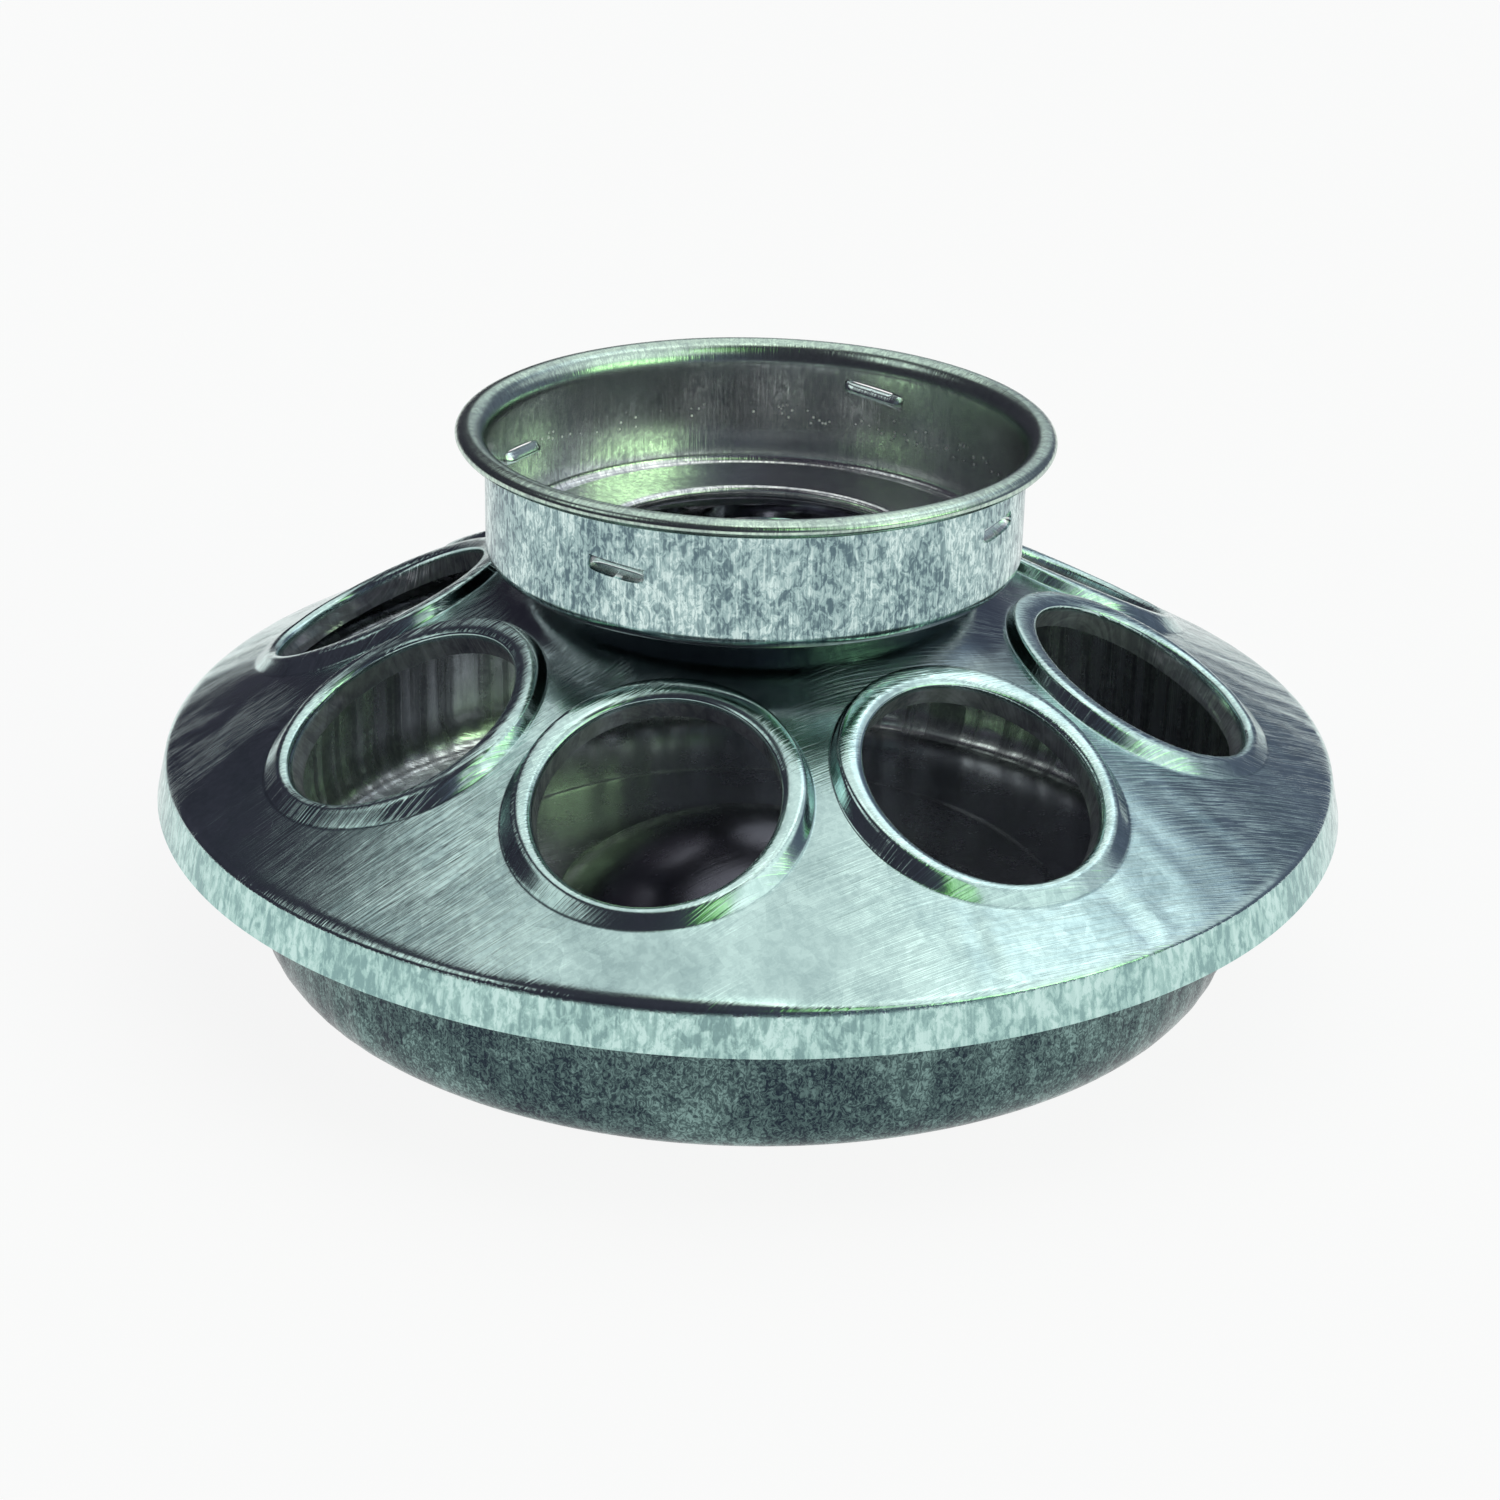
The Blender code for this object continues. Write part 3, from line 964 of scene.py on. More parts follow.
class Graph:
    """Builds the nodes of one material or world."""

    def __init__(self, tree: bpy.types.NodeTree) -> None:
        """Start from an empty tree."""
        self.tree = tree
        tree.nodes.clear()

    def node(self, kind: str, settings: dict[str, object] | None = None,
             inputs: dict[str | int, Input] | None = None) -> bpy.types.Node:
        """Add a node.

        Args:
            kind: the node's type.
            settings: its own properties, which are set first.
            inputs: values or signals for its sockets, by name or number.

        Returns:
            The node.
        """
        node = self.tree.nodes.new(kind)
        for name, value in (settings or {}).items():
            setattr(node, name, value)
        for name, value in (inputs or {}).items():
            if isinstance(value, Signal):
                self.tree.links.new(value.socket, node.inputs[name])
            else:
                node.inputs[name].default_value = value
        return node

    def math(self, operation: str, *values: Input) -> Signal:
        """Add a Math node on numbers."""
        node = self.node("ShaderNodeMath", {"operation": operation}, dict(enumerate(values)))
        return Signal(self, node.outputs[0])

    def vector(self, operation: str, *values: Input) -> Signal:
        """Add a Vector Math node on vectors."""
        node = self.node("ShaderNodeVectorMath", {"operation": operation}, dict(enumerate(values)))
        return Signal(self, node.outputs[0])

    def dot(self, vector: Signal, way: Sequence[float]) -> Signal:
        """How far a vector goes along a way."""
        node = self.node("ShaderNodeVectorMath", {"operation": "DOT_PRODUCT"}, {0: vector, 1: tuple(way)})
        return Signal(self, node.outputs["Value"])

    def rays(self, *kinds: str) -> Signal:
        """Which rays are of some kinds.

        Args:
            kinds: the kinds of ray, such as Camera or Glossy.

        Returns:
            1 for those rays, and 0 for others.
        """
        path = self.node("ShaderNodeLightPath")
        found = Signal(self, path.outputs[f"Is {kinds[0]} Ray"])
        for kind in kinds[1:]:
            found = self.math("MAXIMUM", found, Signal(self, path.outputs[f"Is {kind} Ray"]))
        return found

    def mark(self, name: str) -> Signal:
        """Value that the mesh carries under a name."""
        node = self.node("ShaderNodeAttribute", {"attribute_name": name})
        return Signal(self, node.outputs["Fac"])

    def place(self) -> Signal:
        """Place on the object, in metres."""
        return Signal(self, self.node("ShaderNodeTexCoord").outputs["Object"])

    def level(self) -> Signal:
        """Place on the object without its height, in metres."""
        return self.vector("MULTIPLY", self.place(), (1.0, 1.0, 0.0))

    def height(self) -> Signal:
        """Height on the object, in metres."""
        return self.split(self.place())[2]

    def radius(self) -> Signal:
        """Distance from the feeder's axis, in metres."""
        node = self.node("ShaderNodeVectorMath", {"operation": "LENGTH"}, {0: self.level()})
        return Signal(self, node.outputs["Value"])

    def around(self, reach: float, height: Input) -> Signal:
        """Coordinates that run round the axis as on a cylinder.

        Args:
            reach: the cylinder's radius, in metres.
            height: the coordinate along its axis.

        Returns:
            The coordinates, in metres.
        """
        out = self.split(self.vector("NORMALIZE", self.level()))
        return self.join(out[0] * reach, out[1] * reach, height)

    def split(self, vector: Signal) -> tuple[Signal, Signal, Signal]:
        """The three parts of a vector."""
        node = self.node("ShaderNodeSeparateXYZ", None, {0: vector})
        return tuple(Signal(self, node.outputs[i]) for i in range(3))

    def join(self, x: Input, y: Input, z: Input) -> Signal:
        """A vector from its three parts."""
        node = self.node("ShaderNodeCombineXYZ", None, {0: x, 1: y, 2: z})
        return Signal(self, node.outputs[0])

    def noise(self, vector: Signal, size: Sequence[float], detail: float = 2.0, rough: float = 0.5,
              swirl: float = 0.0) -> Signal:
        """Noise whose features have a size.

        Args:
            vector: the coordinates, in metres.
            size: width of a feature along each coordinate, in metres.
            detail: octaves.
            rough: strength of the finer octaves.
            swirl: how much the features are bent.

        Returns:
            Noise about 0.5.
        """
        scaled = self.vector("DIVIDE", vector, tuple(size))
        node = self.node("ShaderNodeTexNoise", None, {
            "Vector": scaled, "Scale": 1.0, "Detail": detail, "Roughness": rough, "Distortion": swirl})
        return Signal(self, node.outputs["Fac"])

    def cells(self, vector: Signal, size: Sequence[float]) -> tuple[Signal, Signal, Signal]:
        """Scattered cells, such as the crystals of the zinc.

        Args:
            vector: the coordinates, in metres.
            size: width of a cell along each coordinate, in metres.

        Returns:
            How far a place is from its cell's middle, in cells, and two random values of the cell.
        """
        scaled = self.vector("DIVIDE", vector, tuple(size))
        node = self.node("ShaderNodeTexVoronoi", {"feature": "F1"}, {"Vector": scaled, "Scale": 1.0})
        shade = self.node("ShaderNodeSeparateColor", None, {0: Signal(self, node.outputs["Color"])})
        return (Signal(self, node.outputs["Distance"]), Signal(self, shade.outputs[0]),
                Signal(self, shade.outputs[1]))

    def spots(self, vector: Signal, size: float, share: float) -> Signal:
        """Small round spots, from 0 to 1.

        Args:
            vector: the coordinates, in metres.
            size: how far apart the places for spots are.
            share: how many of the places have a spot, from 0 to 1.

        Returns:
            The spots.
        """
        away, _, chance = self.cells(vector, (size, size, size))
        return away.ramp(0.34, 0.20) * chance.ramp(1.0 - share, 1.02 - share)

    def mix(self, factor: Input, first: Input, second: Input, blend: str = "MIX") -> Signal:
        """Mix two colours.

        Args:
            factor: share of the second colour, from 0 to 1.
            first: the first colour.
            second: the second colour.
            blend: how they mix.

        Returns:
            The mixed colour.
        """
        first, second = [value if isinstance(value, Signal) else (*value, 1.0) for value in (first, second)]
        node = self.node("ShaderNodeMix", {"data_type": "RGBA", "blend_type": blend},
                         {"Factor": factor, 6: first, 7: second})
        return Signal(self, node.outputs[2])


@dataclass(frozen=True)
class Finish:
    """Galvanised finish of one piece.

    Attributes:
        name: the material's name.
        shade: colour of the dark crystals.
        body: colour of most of the zinc.
        bright: colour of the bright crystals.
        inside_shade: darkest colour of the sheet's other side.
        inside: lightest colour of the sheet's other side.
        crystal: width of a crystal.
        stretch: how much taller crystals are than wide.
        swirl: how much the crystals are bent.
        mottle: how much the crystals differ, from 0 to 1.
        quiet: how much less their flecks show in calm places, from 0 to 1.
        grain: how the scratches run.
        rolling: angle of rolled scratches from +X, in degrees.
        round_reach: distance from the axis where turned scratches have their true width.
        scratch: width of a scratch.
        streak: how much the scratches show in the colour, from 0 to 1.
        groove: depth of the scratches.
        grit: depth of the fine grain.
        gloss: roughness of the bright zinc.
        dull: roughness of the dark zinc.
    """

    name: str
    shade: Colour
    body: Colour
    bright: Colour
    inside_shade: Colour
    inside: Colour
    crystal: float = 1.0 * MM
    stretch: float = 2.0
    swirl: float = 0.8
    mottle: float = 1.0
    quiet: float = 0.7
    grain: Grain = Grain.ROLLED
    rolling: float = 41.5
    round_reach: float = 36 * MM
    scratch: float = 0.30 * MM
    streak: float = 0.25
    groove: float = 0.009 * MM
    grit: float = 0.0045 * MM
    gloss: float = 0.18
    dull: float = 0.30

    def turned_scratches(self, graph: Graph) -> Signal:
        """Scratches outwards from the axis and up the walls, from 0 to 1."""
        lines = graph.around(self.round_reach, graph.radius() + graph.height())
        return graph.noise(lines, (self.scratch, self.scratch, 9 * MM), 2.0, 0.7).ramp(0.40, 0.72)

    def rubbed(self, graph: Graph, along: Signal, across: Signal) -> Signal:
        """Where the sheet is scratched.

        Args:
            graph: the material's graph.
            along: the coordinate along the scratches.
            across: the coordinate across them.

        Returns:
            How clear the scratches are, from 0 to 1.
        """
        stray = graph.noise(graph.join(along, across, 0.0), (26 * MM, 11 * MM, 1.0), 2.0)
        beside = graph.dot(graph.place(), (0.98, 0.21, 0.0))
        left = beside.ramp(-16 * MM, -34 * MM) * beside.ramp(-68 * MM, -54 * MM)
        sides = left + beside.ramp(20 * MM, 48 * MM)
        return graph.math("MAXIMUM", stray.ramp(0.42, 0.62, 0.1, 1.0) * 0.6, sides * 0.9)

    def rolled_scratches(self, graph: Graph) -> Signal:
        """Long scratches of the rolled sheet, a little bowed.

        Args:
            graph: the material's graph.

        Returns:
            The scratches, from 0 to 1.
        """
        turn = math.radians(self.rolling)
        along = graph.dot(graph.place(), (math.cos(turn), math.sin(turn), 0.0))
        across = graph.dot(graph.place(), (-math.sin(turn), math.cos(turn), 0.0))
        bow = graph.noise(graph.level(), (40 * MM,) * 3) * (4 * MM)
        lines = graph.noise(graph.join(along, across + bow, 0.0), (13 * MM, self.scratch, 1.0), 2.0, 0.6)
        return lines.ramp(0.44, 0.64) * self.rubbed(graph, along, across)

    def scratches(self, graph: Graph) -> Signal:
        """Fine scratches, from 0 to 1."""
        if self.grain is Grain.TURNED:
            return self.turned_scratches(graph)
        return self.rolled_scratches(graph)

    def calm(self, graph: Graph) -> Signal:
        """Where the crystals hardly show, from 0 to 1: on the inside of the piece."""
        return graph.mark("back")

    def tones(self, graph: Graph, scratch: Signal, calm: Signal) -> Signal:
        """How light the zinc is over the surface.

        Args:
            graph: the material's graph.
            scratch: the fine scratches.
            calm: where the crystals hardly show.

        Returns:
            Lightness from 0 to 1.
        """
        place = graph.place()
        tall = self.crystal * self.stretch
        fleck = graph.noise(place, (self.crystal, self.crystal, tall), 4.0, 0.66, self.swirl)
        fleck = fleck.ramp(0.38, 0.62)
        patch = graph.cells(place, (2.4 * self.crystal, 2.4 * self.crystal, 1.6 * tall))[1]
        cloud = graph.noise(place, (9 * MM, 9 * MM, 16 * MM), 3.0).ramp(0.3, 0.7)
        mottle = (fleck - 0.5) * 0.5 * (1 - calm * self.quiet) + (patch - 0.5) * 0.2 + (cloud - 0.5) * 0.3
        return mottle * self.mottle + (scratch - 0.35) * self.streak + 0.5

    def colour(self, graph: Graph, light: Signal) -> Signal:
        """Colour of the zinc for a lightness."""
        lower = graph.mix(light.ramp(0.05, 0.55), self.shade, self.body)
        return graph.mix(light.ramp(0.45, 1.0), lower, self.bright)

    def other_side(self, graph: Graph, light: Signal) -> Signal:
        """Colour of the sheet's other side for a lightness."""
        return graph.mix(light, self.inside_shade, self.inside)

    def coat(self, graph: Graph, light: Signal, calm: Signal) -> Signal:
        """Colour over the whole piece.

        Args:
            graph: the material's graph.
            light: the lightness.
            calm: where the crystals hardly show.

        Returns:
            The colour.
        """
        return graph.mix(calm, self.colour(graph, light), self.other_side(graph, light))

    def adjust(self, graph: Graph, light: Signal) -> Signal:
        """Lightness after this piece's own marks, painted highlight and painted shade."""
        return light

    def metal(self, graph: Graph) -> Input:
        """How metallic the surface is."""
        return 1.0

    def material(self) -> bpy.types.Material:
        """Make the material.

        Returns:
            The material.
        """
        material = bpy.data.materials.new(self.name)
        material.use_nodes = True
        graph = Graph(material.node_tree)
        scratch, calm = self.scratches(graph), self.calm(graph)
        light = self.adjust(graph, self.tones(graph, scratch, calm))
        grain = graph.noise(graph.place(), (0.3 * MM, 0.3 * MM, 0.3 * MM), 2.0)
        height = scratch * self.groove + (light + grain) * self.grit
        bump = graph.node("ShaderNodeBump", None, {"Strength": 1.0, "Distance": 1.0, "Height": height})
        shader = graph.node("ShaderNodeBsdfPrincipled", None, {
            "Base Color": self.coat(graph, light, calm),
            "Metallic": self.metal(graph),
            "Roughness": light.ramp(0.0, 1.0, self.dull, self.gloss),
            "Normal": Signal(graph, bump.outputs["Normal"]),
        })
        output = graph.node("ShaderNodeOutputMaterial")
        graph.tree.links.new(shader.outputs["BSDF"], output.inputs["Surface"])
        return material


@dataclass(frozen=True)
class PanFinish(Finish):
    """Finish of the pan, whose floor and dome are darkened as painted shade under the cover.

    Attributes:
        floor_reach: radius where the darkened floor ends.
        floor_shade_colour: colour of the floor, darkened as painted shade under the cover.
        dome_reach: radius where the darker dome ends.
        dome_shade_colour: colour of the dome, darker still as painted shade.
        drawn: width of the upright marks inside its wall.
        mouth: radius where its wall turns into the flange.
        wall_reach: radius of the wall, where the marks have their true width.
    """

    floor_reach: float = 62 * MM
    floor_shade_colour: Colour = (0.24, 0.23, 0.29)
    dome_reach: float = 30 * MM
    dome_shade_colour: Colour = (0.08, 0.08, 0.10)
    drawn: float = 2.6 * MM
    mouth: float = 70.5 * MM
    wall_reach: float = 66 * MM

    def other_side(self, graph: Graph, light: Signal) -> Signal:
        """Colour inside the pan, from its bright wall to its floor and dome, darkened as painted shade.

        Args:
            graph: the material's graph.
            light: the lightness.

        Returns:
            The colour.
        """
        wall = graph.mix(light, self.inside_shade, self.inside)
        # painted shade: the floor and the dome under the cover take darker colours
        dull = graph.radius().ramp(self.floor_reach + 5 * MM, self.floor_reach - MM, 0.0, 0.8)
        dome = graph.radius().ramp(self.dome_reach + 3 * MM, self.dome_reach - 3 * MM, 0.0, 0.85)
        return graph.mix(dome, graph.mix(dull, wall, self.floor_shade_colour), self.dome_shade_colour)

    def adjust(self, graph: Graph, light: Signal) -> Signal:
        """Add the upright marks of the press inside the wall.

        Args:
            graph: the material's graph.
            light: the lightness.

        Returns:
            The lightness with the marks.
        """
        around = graph.around(self.wall_reach, graph.height())
        marks = graph.noise(around, (self.drawn, self.drawn, 50 * MM), 3.0).ramp(0.38, 0.66)
        wall = graph.radius().ramp(self.floor_reach, self.floor_reach + 5 * MM)
        wall = wall * graph.radius().ramp(self.mouth + MM, self.mouth)
        return light + (marks - 0.45) * self.calm(graph) * wall * 0.8


@dataclass(frozen=True)
class CoverFinish(Finish):
    """Finish of the cover, whose mesh carries its zones and a mark of polish wear, painted highlight and
    painted shade.

    Attributes:
        cone_shade: darkest colour of the cone and the rings.
        cone: lightest colour of the cone and the rings.
        lip_shade: darkest colour of the rings' lips.
        lip: lightest colour of the rings' lips.
        painted_collar_shade: colour of the painted shade on the cone round the collar, under its overhang.
        painted_shade_reach: how far from the axis the painted shade starts to show.
        painted_shade_full: how far from the axis it is darkest.
    """

    cone_shade: Colour = (0.32, 0.45, 0.45)
    cone: Colour = (0.66, 0.86, 0.82)
    lip_shade: Colour = (0.10, 0.10, 0.13)
    lip: Colour = (0.44, 0.46, 0.48)
    painted_collar_shade: Colour = (0.11, 0.12, 0.15)
    painted_shade_reach: float = 49 * MM
    painted_shade_full: float = 36 * MM

    def scratches(self, graph: Graph) -> Signal:
        """Rolled scratches, but upright ones on the drawn skirt.

        Args:
            graph: the material's graph.

        Returns:
            The scratches, from 0 to 1.
        """
        skirt = graph.mark("zone").ramp(-0.2, -0.8)
        rolled, upright = self.rolled_scratches(graph), self.turned_scratches(graph)
        return rolled + (upright - rolled) * skirt

    def calm(self, graph: Graph) -> Signal:
        """Everything but the skirt."""
        return graph.mark("zone").ramp(-0.8, -0.2)

    def coat(self, graph: Graph, light: Signal, calm: Signal) -> Signal:
        """Colour of the skirt, of the cone and rings with painted shade round the collar, and of the lips
        and the underside.

        Args:
            graph: the material's graph.
            light: the lightness.
            calm: where the crystals hardly show.

        Returns:
            The colour.
        """
        outside = graph.mix(calm, self.colour(graph, light), graph.mix(light, self.cone_shade, self.cone))
        # painted shade: the cone darkens towards the collar, where the collar overhangs it
        near = graph.radius().ramp(self.painted_shade_reach, self.painted_shade_full, 0.0, 0.65)
        near = near * graph.mark("zone").ramp(0.9, 0.2)
        outside = graph.mix(near, outside, self.painted_collar_shade)
        outside = graph.mix(self.cut(graph), outside, graph.mix(light, self.lip_shade, self.lip))
        return graph.mix(graph.mark("back"), outside, self.other_side(graph, light))

    def cut(self, graph: Graph) -> Signal:
        """Where the rings' lips are, from 0 to 1."""
        return graph.mark("zone").ramp(1.1, 1.6) * (1 - graph.mark("back"))

    def metal(self, graph: Graph) -> Signal:
        """Metal all over, but dulled by white rust on the lips."""
        return 1 - self.cut(graph) * 0.6

    def adjust(self, graph: Graph, light: Signal) -> Signal:
        """Lighten the crests, as polish wear and painted highlight, lighten the crease as a painted
        highlight, and darken the rings' feet as painted shade.
        """
        wear_sheen_and_shade = graph.mark("wear_sheen_and_shade")
        return light + wear_sheen_and_shade.ramp(0.2, 1.0) * 0.25 - wear_sheen_and_shade.ramp(-0.2, -1.0) * 0.3


@dataclass(frozen=True)
class CollarFinish(Finish):
    """Finish of the collar, whose crystals show on the outside of its wall.

    Attributes:
        wall: radius of the middle of the wall's sheet.
        bead: height where the bead starts.
        bead_shade: darkest colour of the bead.
        bead_colour: lightest colour of the bead.
        specks: height of the band of bright specks inside the wall.
    """

    wall: float = 36.25 * MM
    bead: float = 70.4 * MM
    bead_shade: Colour = (0.34, 0.42, 0.40)
    bead_colour: Colour = (0.66, 0.84, 0.70)
    specks: float = 62.3 * MM

    def above(self, graph: Graph) -> Signal:
        """Where the bead is, from 0 to 1."""
        return graph.height().ramp(self.bead - 0.3 * MM, self.bead + 0.3 * MM)

    def calm(self, graph: Graph) -> Signal:
        """Everything inside the wall, and the bead."""
        inside = graph.radius().ramp(self.wall + 0.05 * MM, self.wall - 0.05 * MM)
        return graph.math("MAXIMUM", inside, self.above(graph))

    def other_side(self, graph: Graph, light: Signal) -> Signal:
        """Colour inside the wall, with its specks, a painted highlight on the lugs' inner faces, and the
        yellower bead.

        Args:
            graph: the material's graph.
            light: the lightness.

        Returns:
            The colour.
        """
        inside = graph.mix(light, self.inside_shade, self.inside)
        inside = graph.mix(self.speckle(graph), inside, (1.0, 1.0, 1.0))
        # painted highlight: the lugs' inner faces are lightened towards the bright colour, as if lit from
        # above
        lug_sheen = graph.radius().ramp(self.wall - 0.35 * MM, self.wall - 0.5 * MM)
        lug_sheen = lug_sheen * graph.height().ramp(60 * MM, 61 * MM)
        inside = graph.mix(lug_sheen * 0.8, inside, self.bright)
        return graph.mix(self.above(graph), inside, graph.mix(light, self.bead_shade, self.bead_colour))

    def speckle(self, graph: Graph) -> Signal:
        """White specks in a band round the back, inside the wall.

        Args:
            graph: the material's graph.

        Returns:
            The specks, from 0 to 1.
        """
        away = graph.math("ABSOLUTE", graph.height() - self.specks)
        inner = graph.radius().ramp(self.wall, self.wall - 0.1 * MM)
        back = graph.split(graph.place())[1].ramp(4 * MM, 16 * MM)
        spots = graph.spots(graph.place(), 0.8 * MM, 0.30)
        return spots * away.ramp(2.2 * MM, 0.6 * MM) * inner * back

    def metal(self, graph: Graph) -> Signal:
        """Metal all over but for the specks."""
        return 1 - self.speckle(graph)


@dataclass(frozen=True)
class Glow:
    """A soft lamp on the studio's walls, as the feeder sees it.

    Attributes:
        turn: its middle, clockwise from straight behind the feeder as the camera sees it, in degrees.
        reach: its half width, in degrees.
        low: how high its lower edge stands, in degrees.
        high: how high its upper edge stands, in degrees.
        blur: half width of its soft edges, in degrees.
        colour: what it adds.
    """

    turn: float
    reach: float
    low: float
    high: float
    blur: float
    colour: Colour

    def strength(self, graph: "Graph", look: "Signal", level: "Signal") -> "Signal":
        """How much of the lamp shows, from 0 to 1.

        Args:
            graph: the world's graph.
            look: the direction, with +Y straight behind the feeder.
            level: the same direction without its height, one long.

        Returns:
            The lamp's share.
        """
        turn = math.radians(self.turn)
        beside = graph.dot(level, (math.sin(turn), math.cos(turn), 0.0))
        wide = beside.ramp(math.cos(math.radians(self.reach + self.blur)),
                           math.cos(math.radians(self.reach - self.blur)))
        height = graph.split(look)[2]
        low, high = [[math.sin(math.radians(edge + step)) for step in (-self.blur, self.blur)]
                     for edge in (self.low, self.high)]
        return wide * height.ramp(*low) * (1 - height.ramp(*high))


@dataclass
class Studio:
    """Pale floor, and a studio whose ceiling and right side glow over dim walls.

    Attributes:
        turn: how far round the feeder the camera stands, in degrees.
        reach: half the floor's width.
        paint: the floor's colour.
        backlit: share of the floor's own white that the camera and the metal see.
        ceiling_left: colour of the ceiling's light to the left.
        ceiling_right: colour of the ceiling's light to the right.
        wall_left: colour of the dim walls to the left.
        wall_right: colour of the dim walls to the right.
        edge: which way the ceiling's edge leans, for each step right, back and up.
        edge_start: where the ceiling's edge starts, along that way.
        edge_end: where it ends.
        front: which way the ceiling's front and left edge looks.
        crown: what the light straight overhead adds.
        glows: soft lamps.
    """

    turn: float
    reach: float = 8.0
    paint: Colour = (0.94, 0.94, 0.94)
    backlit: float = 0.90
    ceiling_left: Colour = (0.88, 0.91, 0.91)
    ceiling_right: Colour = (0.98, 1.01, 1.01)
    wall_left: Colour = (0.046, 0.040, 0.058)
    wall_right: Colour = (0.13, 0.14, 0.20)
    edge: Colour = (0.02, 0.45, 1.0)
    edge_start: float = 0.885
    edge_end: float = 0.955
    front: Colour = (0.69, 0.70, 0.163)
    crown: Colour = (0.40, 0.42, 0.38)
    glows: Sequence[Glow] = (
        Glow(98.0, 44.0, 24.0, 72.0, 6.0, (0.55, 0.57, 0.56)),
        Glow(124.0, 38.0, 31.0, 55.0, 5.0, (0.60, 0.64, 0.56)),
        Glow(156.0, 11.0, 40.0, 62.0, 4.0, (0.12, 0.48, 0.0)),
        Glow(123.0, 19.0, 11.0, 25.0, 6.0, (1.75, 2.8, 1.3)),
        Glow(-103.0, 17.0, 37.0, 57.0, 3.0, (0.98, 1.04, 1.00)),
        Glow(180.0, 60.0, 77.0, 86.0, 3.0, (0.80, 0.84, 0.72)),
        Glow(48.0, 14.0, 38.0, 64.0, 6.0, (0.30, 0.36, 0.44)),
        Glow(108.0, 34.0, 62.0, 77.0, 3.0, (0.55, 0.56, 0.50)),
        Glow(10.0, 13.0, 10.0, 36.0, 5.0, (0.50, 0.54, 0.54)),
    )

    def floor(self) -> None:
        """Lay the floor under the pan."""
        reach = self.reach
        mesh = bpy.data.meshes.new("floor")
        corners = [(-reach, -reach, 0.0), (reach, -reach, 0.0), (reach, reach, 0.0), (-reach, reach, 0.0)]
        mesh.from_pydata(corners, [], [(0, 1, 2, 3)])
        floor = bpy.data.objects.new("floor", mesh)
        bpy.context.scene.collection.objects.link(floor)
        material = bpy.data.materials.new("floor_paint")
        material.use_nodes = True
        graph = Graph(material.node_tree)
        paint = graph.node("ShaderNodeBsdfDiffuse", None, {"Color": (*self.paint, 1.0)})
        white = graph.node("ShaderNodeEmission", None, {"Color": (1.0, 1.0, 1.0, 1.0)})
        mixed = graph.node("ShaderNodeMixShader", None, {
            0: graph.rays("Camera", "Glossy", "Transmission") * self.backlit,
            1: Signal(graph, paint.outputs[0]),
            2: Signal(graph, white.outputs[0]),
        })
        output = graph.node("ShaderNodeOutputMaterial")
        graph.tree.links.new(mixed.outputs[0], output.inputs["Surface"])
        mesh.materials.append(material)
        floor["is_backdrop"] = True

    def world(self) -> None:
        """Paint the ceiling, the walls and the lamps on the world, which the camera sees as pale."""
        world = bpy.data.worlds.new("studio")
        world.use_nodes = True
        bpy.context.scene.world = world
        graph = Graph(world.node_tree)
        way = graph.node("ShaderNodeTexCoord")
        turned_way = graph.node("ShaderNodeVectorRotate", {"rotation_type": "Z_AXIS"}, {
            "Vector": Signal(graph, way.outputs["Generated"]),
            "Angle": -math.radians(self.turn),
        })
        look = Signal(graph, turned_way.outputs[0])
        level = graph.vector("NORMALIZE", graph.vector("MULTIPLY", look, (1.0, 1.0, 0.0)))
        right = graph.split(look)[0]
        overhead = graph.dot(look, self.edge).ramp(self.edge_start, self.edge_end)
        overhead = overhead * graph.dot(look, self.front).ramp(-0.05, 0.06)
        walls = graph.mix(right.ramp(-0.2, 0.6), self.wall_left, self.wall_right)
        ceiling = graph.mix(right.ramp(-0.6, 0.4), self.ceiling_left, self.ceiling_right)
        light = graph.mix(overhead, walls, ceiling)
        light = graph.mix(graph.split(look)[2].ramp(0.990, 0.996), light, self.crown, "ADD")
        for glow in self.glows:
            light = graph.mix(glow.strength(graph, look, level), light, glow.colour, "ADD")
        light = graph.mix(graph.rays("Camera"), light, self.paint)
        background = graph.node("ShaderNodeBackground", None, {"Color": light})
        output = graph.node("ShaderNodeOutputWorld")
        graph.tree.links.new(background.outputs[0], output.inputs["Surface"])

    def build(self) -> None:
        """Set up the studio."""
        self.floor()
        self.world()
        bpy.context.scene.view_settings.view_transform = "Standard"
        LOG.info("set up the studio")


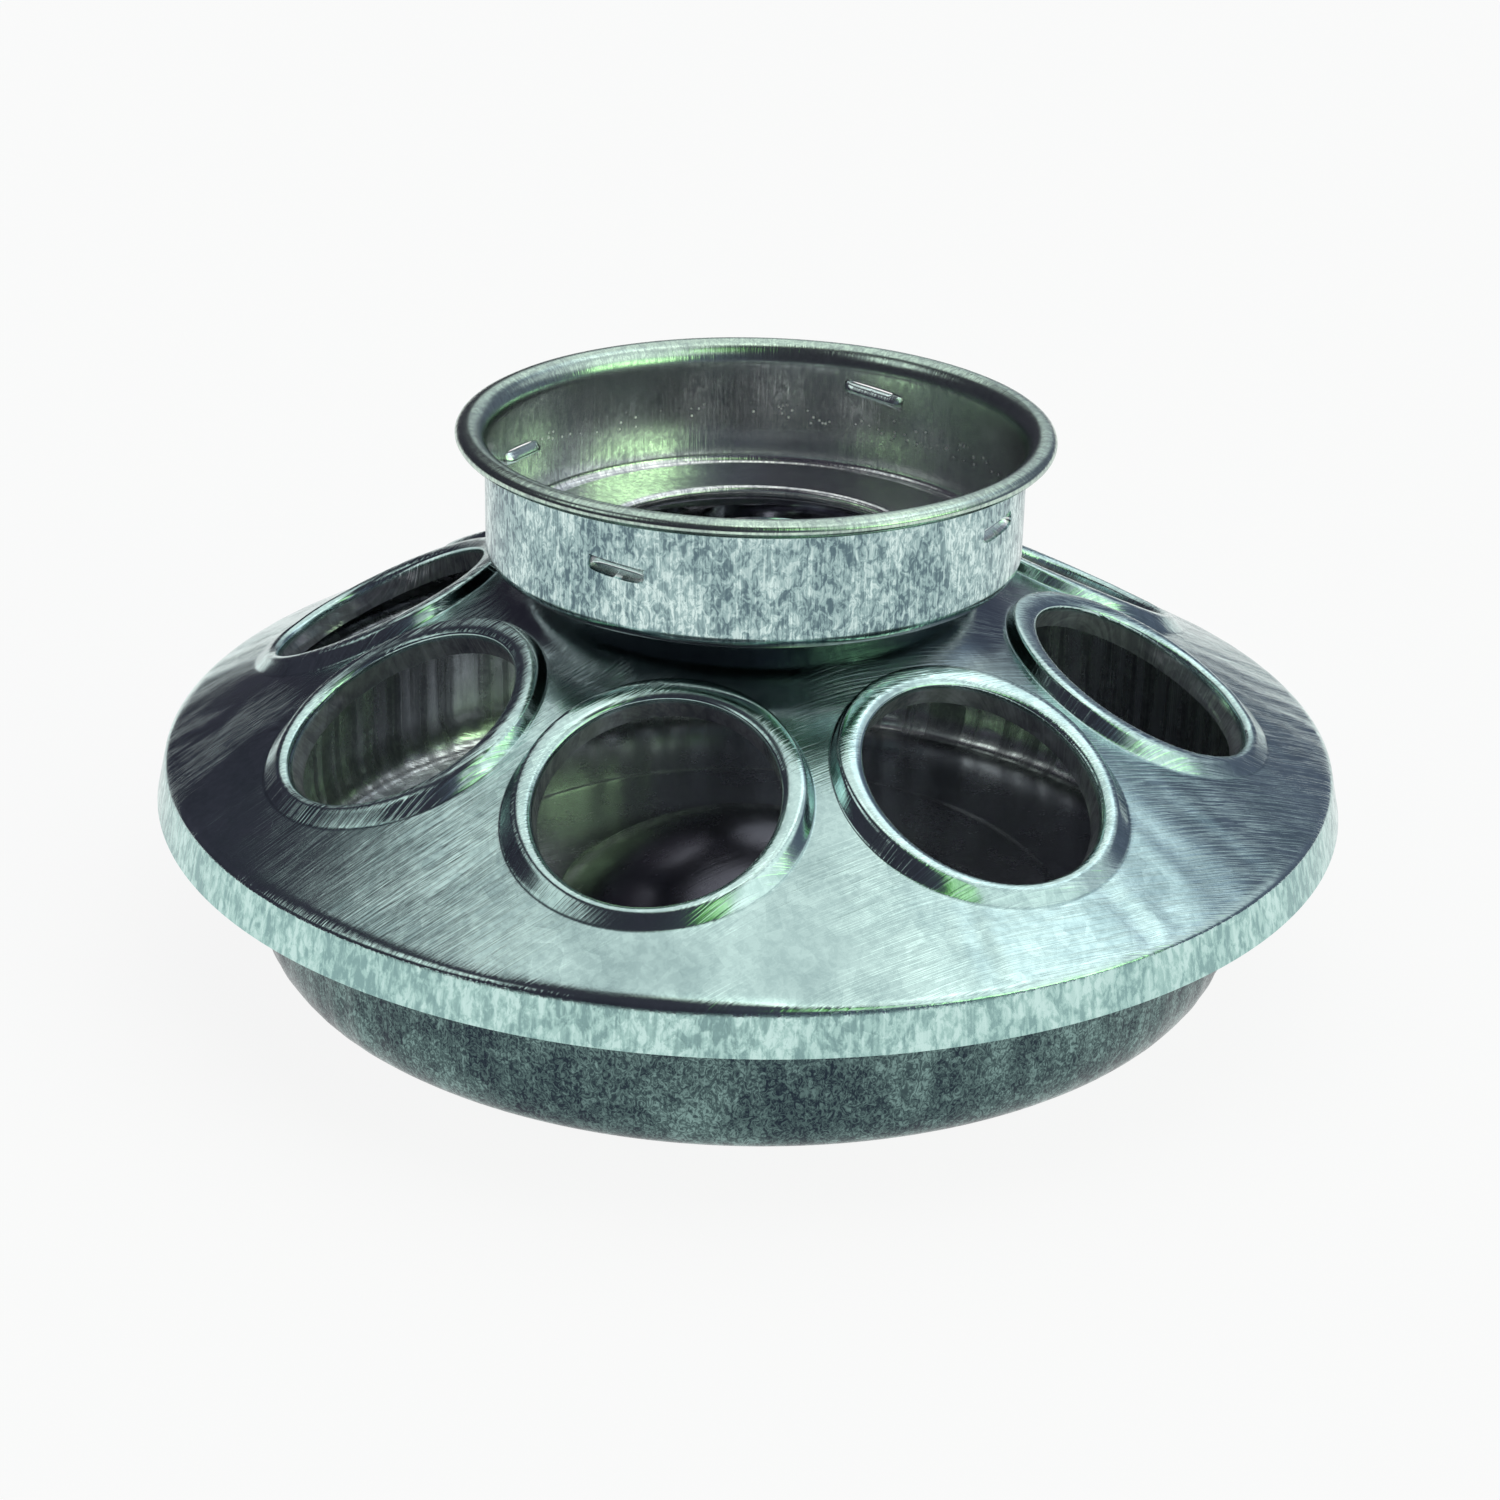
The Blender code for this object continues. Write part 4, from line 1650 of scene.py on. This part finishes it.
@dataclass
class Viewpoint:
    """The photograph's camera.

    Attributes:
        turn: how far round the feeder it stands, anticlockwise from -Y, in degrees.
        distance: from the feeder's axis, level with the floor.
        height: above the floor.
        aim: the height on the axis that it looks at.
        sway: how far beside the axis it looks.
        lens: focal length in millimetres.
        roll: turn about its own axis, in degrees.
    """

    turn: float = 12.054
    distance: float = 396.757 * MM
    height: float = 203.187 * MM
    aim: float = 24.52 * MM
    sway: float = 0.109 * MM
    lens: float = 74.235
    roll: float = 1.288

    def build(self) -> None:
        """Stand the camera up."""
        around = Matrix.Rotation(math.radians(self.turn), 3, "Z")
        place = around @ Vector((0.0, -self.distance, self.height))
        ahead = (around @ Vector((self.sway, 0.0, self.aim)) - place).normalized()
        right = ahead.cross(Vector((0.0, 0.0, 1.0))).normalized()
        up = right.cross(ahead)
        roll = math.radians(self.roll)
        level = math.cos(roll) * right + math.sin(roll) * up
        upright = -math.sin(roll) * right + math.cos(roll) * up
        camera = bpy.data.cameras.new("photo_view")
        camera.lens = self.lens
        camera.sensor_width = 36.0
        camera.sensor_fit = "HORIZONTAL"
        stand = bpy.data.objects.new("photo_view", camera)
        turn = Matrix((level, upright, -ahead)).transposed().to_4x4()
        stand.matrix_world = Matrix.Translation(place) @ turn
        bpy.context.scene.collection.objects.link(stand)
        bpy.context.scene.camera = stand
        LOG.info("stood the camera up")


def corners() -> list[list[float]]:
    """Lowest and highest corner of the shown object, as plain lists."""
    return [[float(value) for value in corner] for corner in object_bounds()]


def main() -> None:
    """Build the feeder, the studio and the camera."""
    logging.basicConfig(level=logging.INFO, format="%(name)s: %(message)s")
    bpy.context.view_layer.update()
    viewpoint = Viewpoint()
    viewpoint.build()
    Studio(turn=viewpoint.turn).build()
    # the pan's outside colours are very dark: partly a darker zinc, partly painted shade for the shaded
    # floor it mirrors under the cover's rim
    FeedPan().build(PanFinish(
        name="pan_zinc", shade=(0.02, 0.03, 0.045), body=(0.08, 0.13, 0.13), bright=(0.24, 0.37, 0.35),
        inside_shade=(0.28, 0.30, 0.31), inside=(0.92, 0.98, 0.94),
        crystal=0.8 * MM, stretch=1.3, swirl=2.0, mottle=1.0, streak=0.15))
    PerforatedCover().build(CoverFinish(
        name="cover_zinc", shade=(0.27, 0.44, 0.43), body=(0.42, 0.64, 0.60), bright=(0.60, 0.82, 0.78),
        inside_shade=(0.30, 0.29, 0.36), inside=(0.70, 0.72, 0.76),
        crystal=1.2 * MM, stretch=2.0, swirl=0.4, mottle=1.25, quiet=0.65, streak=0.26, groove=0.026 * MM,
        scratch=0.30 * MM, gloss=0.08, dull=0.19))
    JarCollar().build(CollarFinish(
        name="collar_zinc", shade=(0.12, 0.19, 0.22), body=(0.36, 0.51, 0.51), bright=(0.74, 0.90, 0.87),
        inside_shade=(0.42, 0.44, 0.47), inside=(0.97, 1.0, 0.97), quiet=0.1,
        crystal=0.85 * MM, stretch=1.8, grain=Grain.TURNED, streak=0.25, gloss=0.14, dull=0.27))


if __name__ == "__main__":
    main()
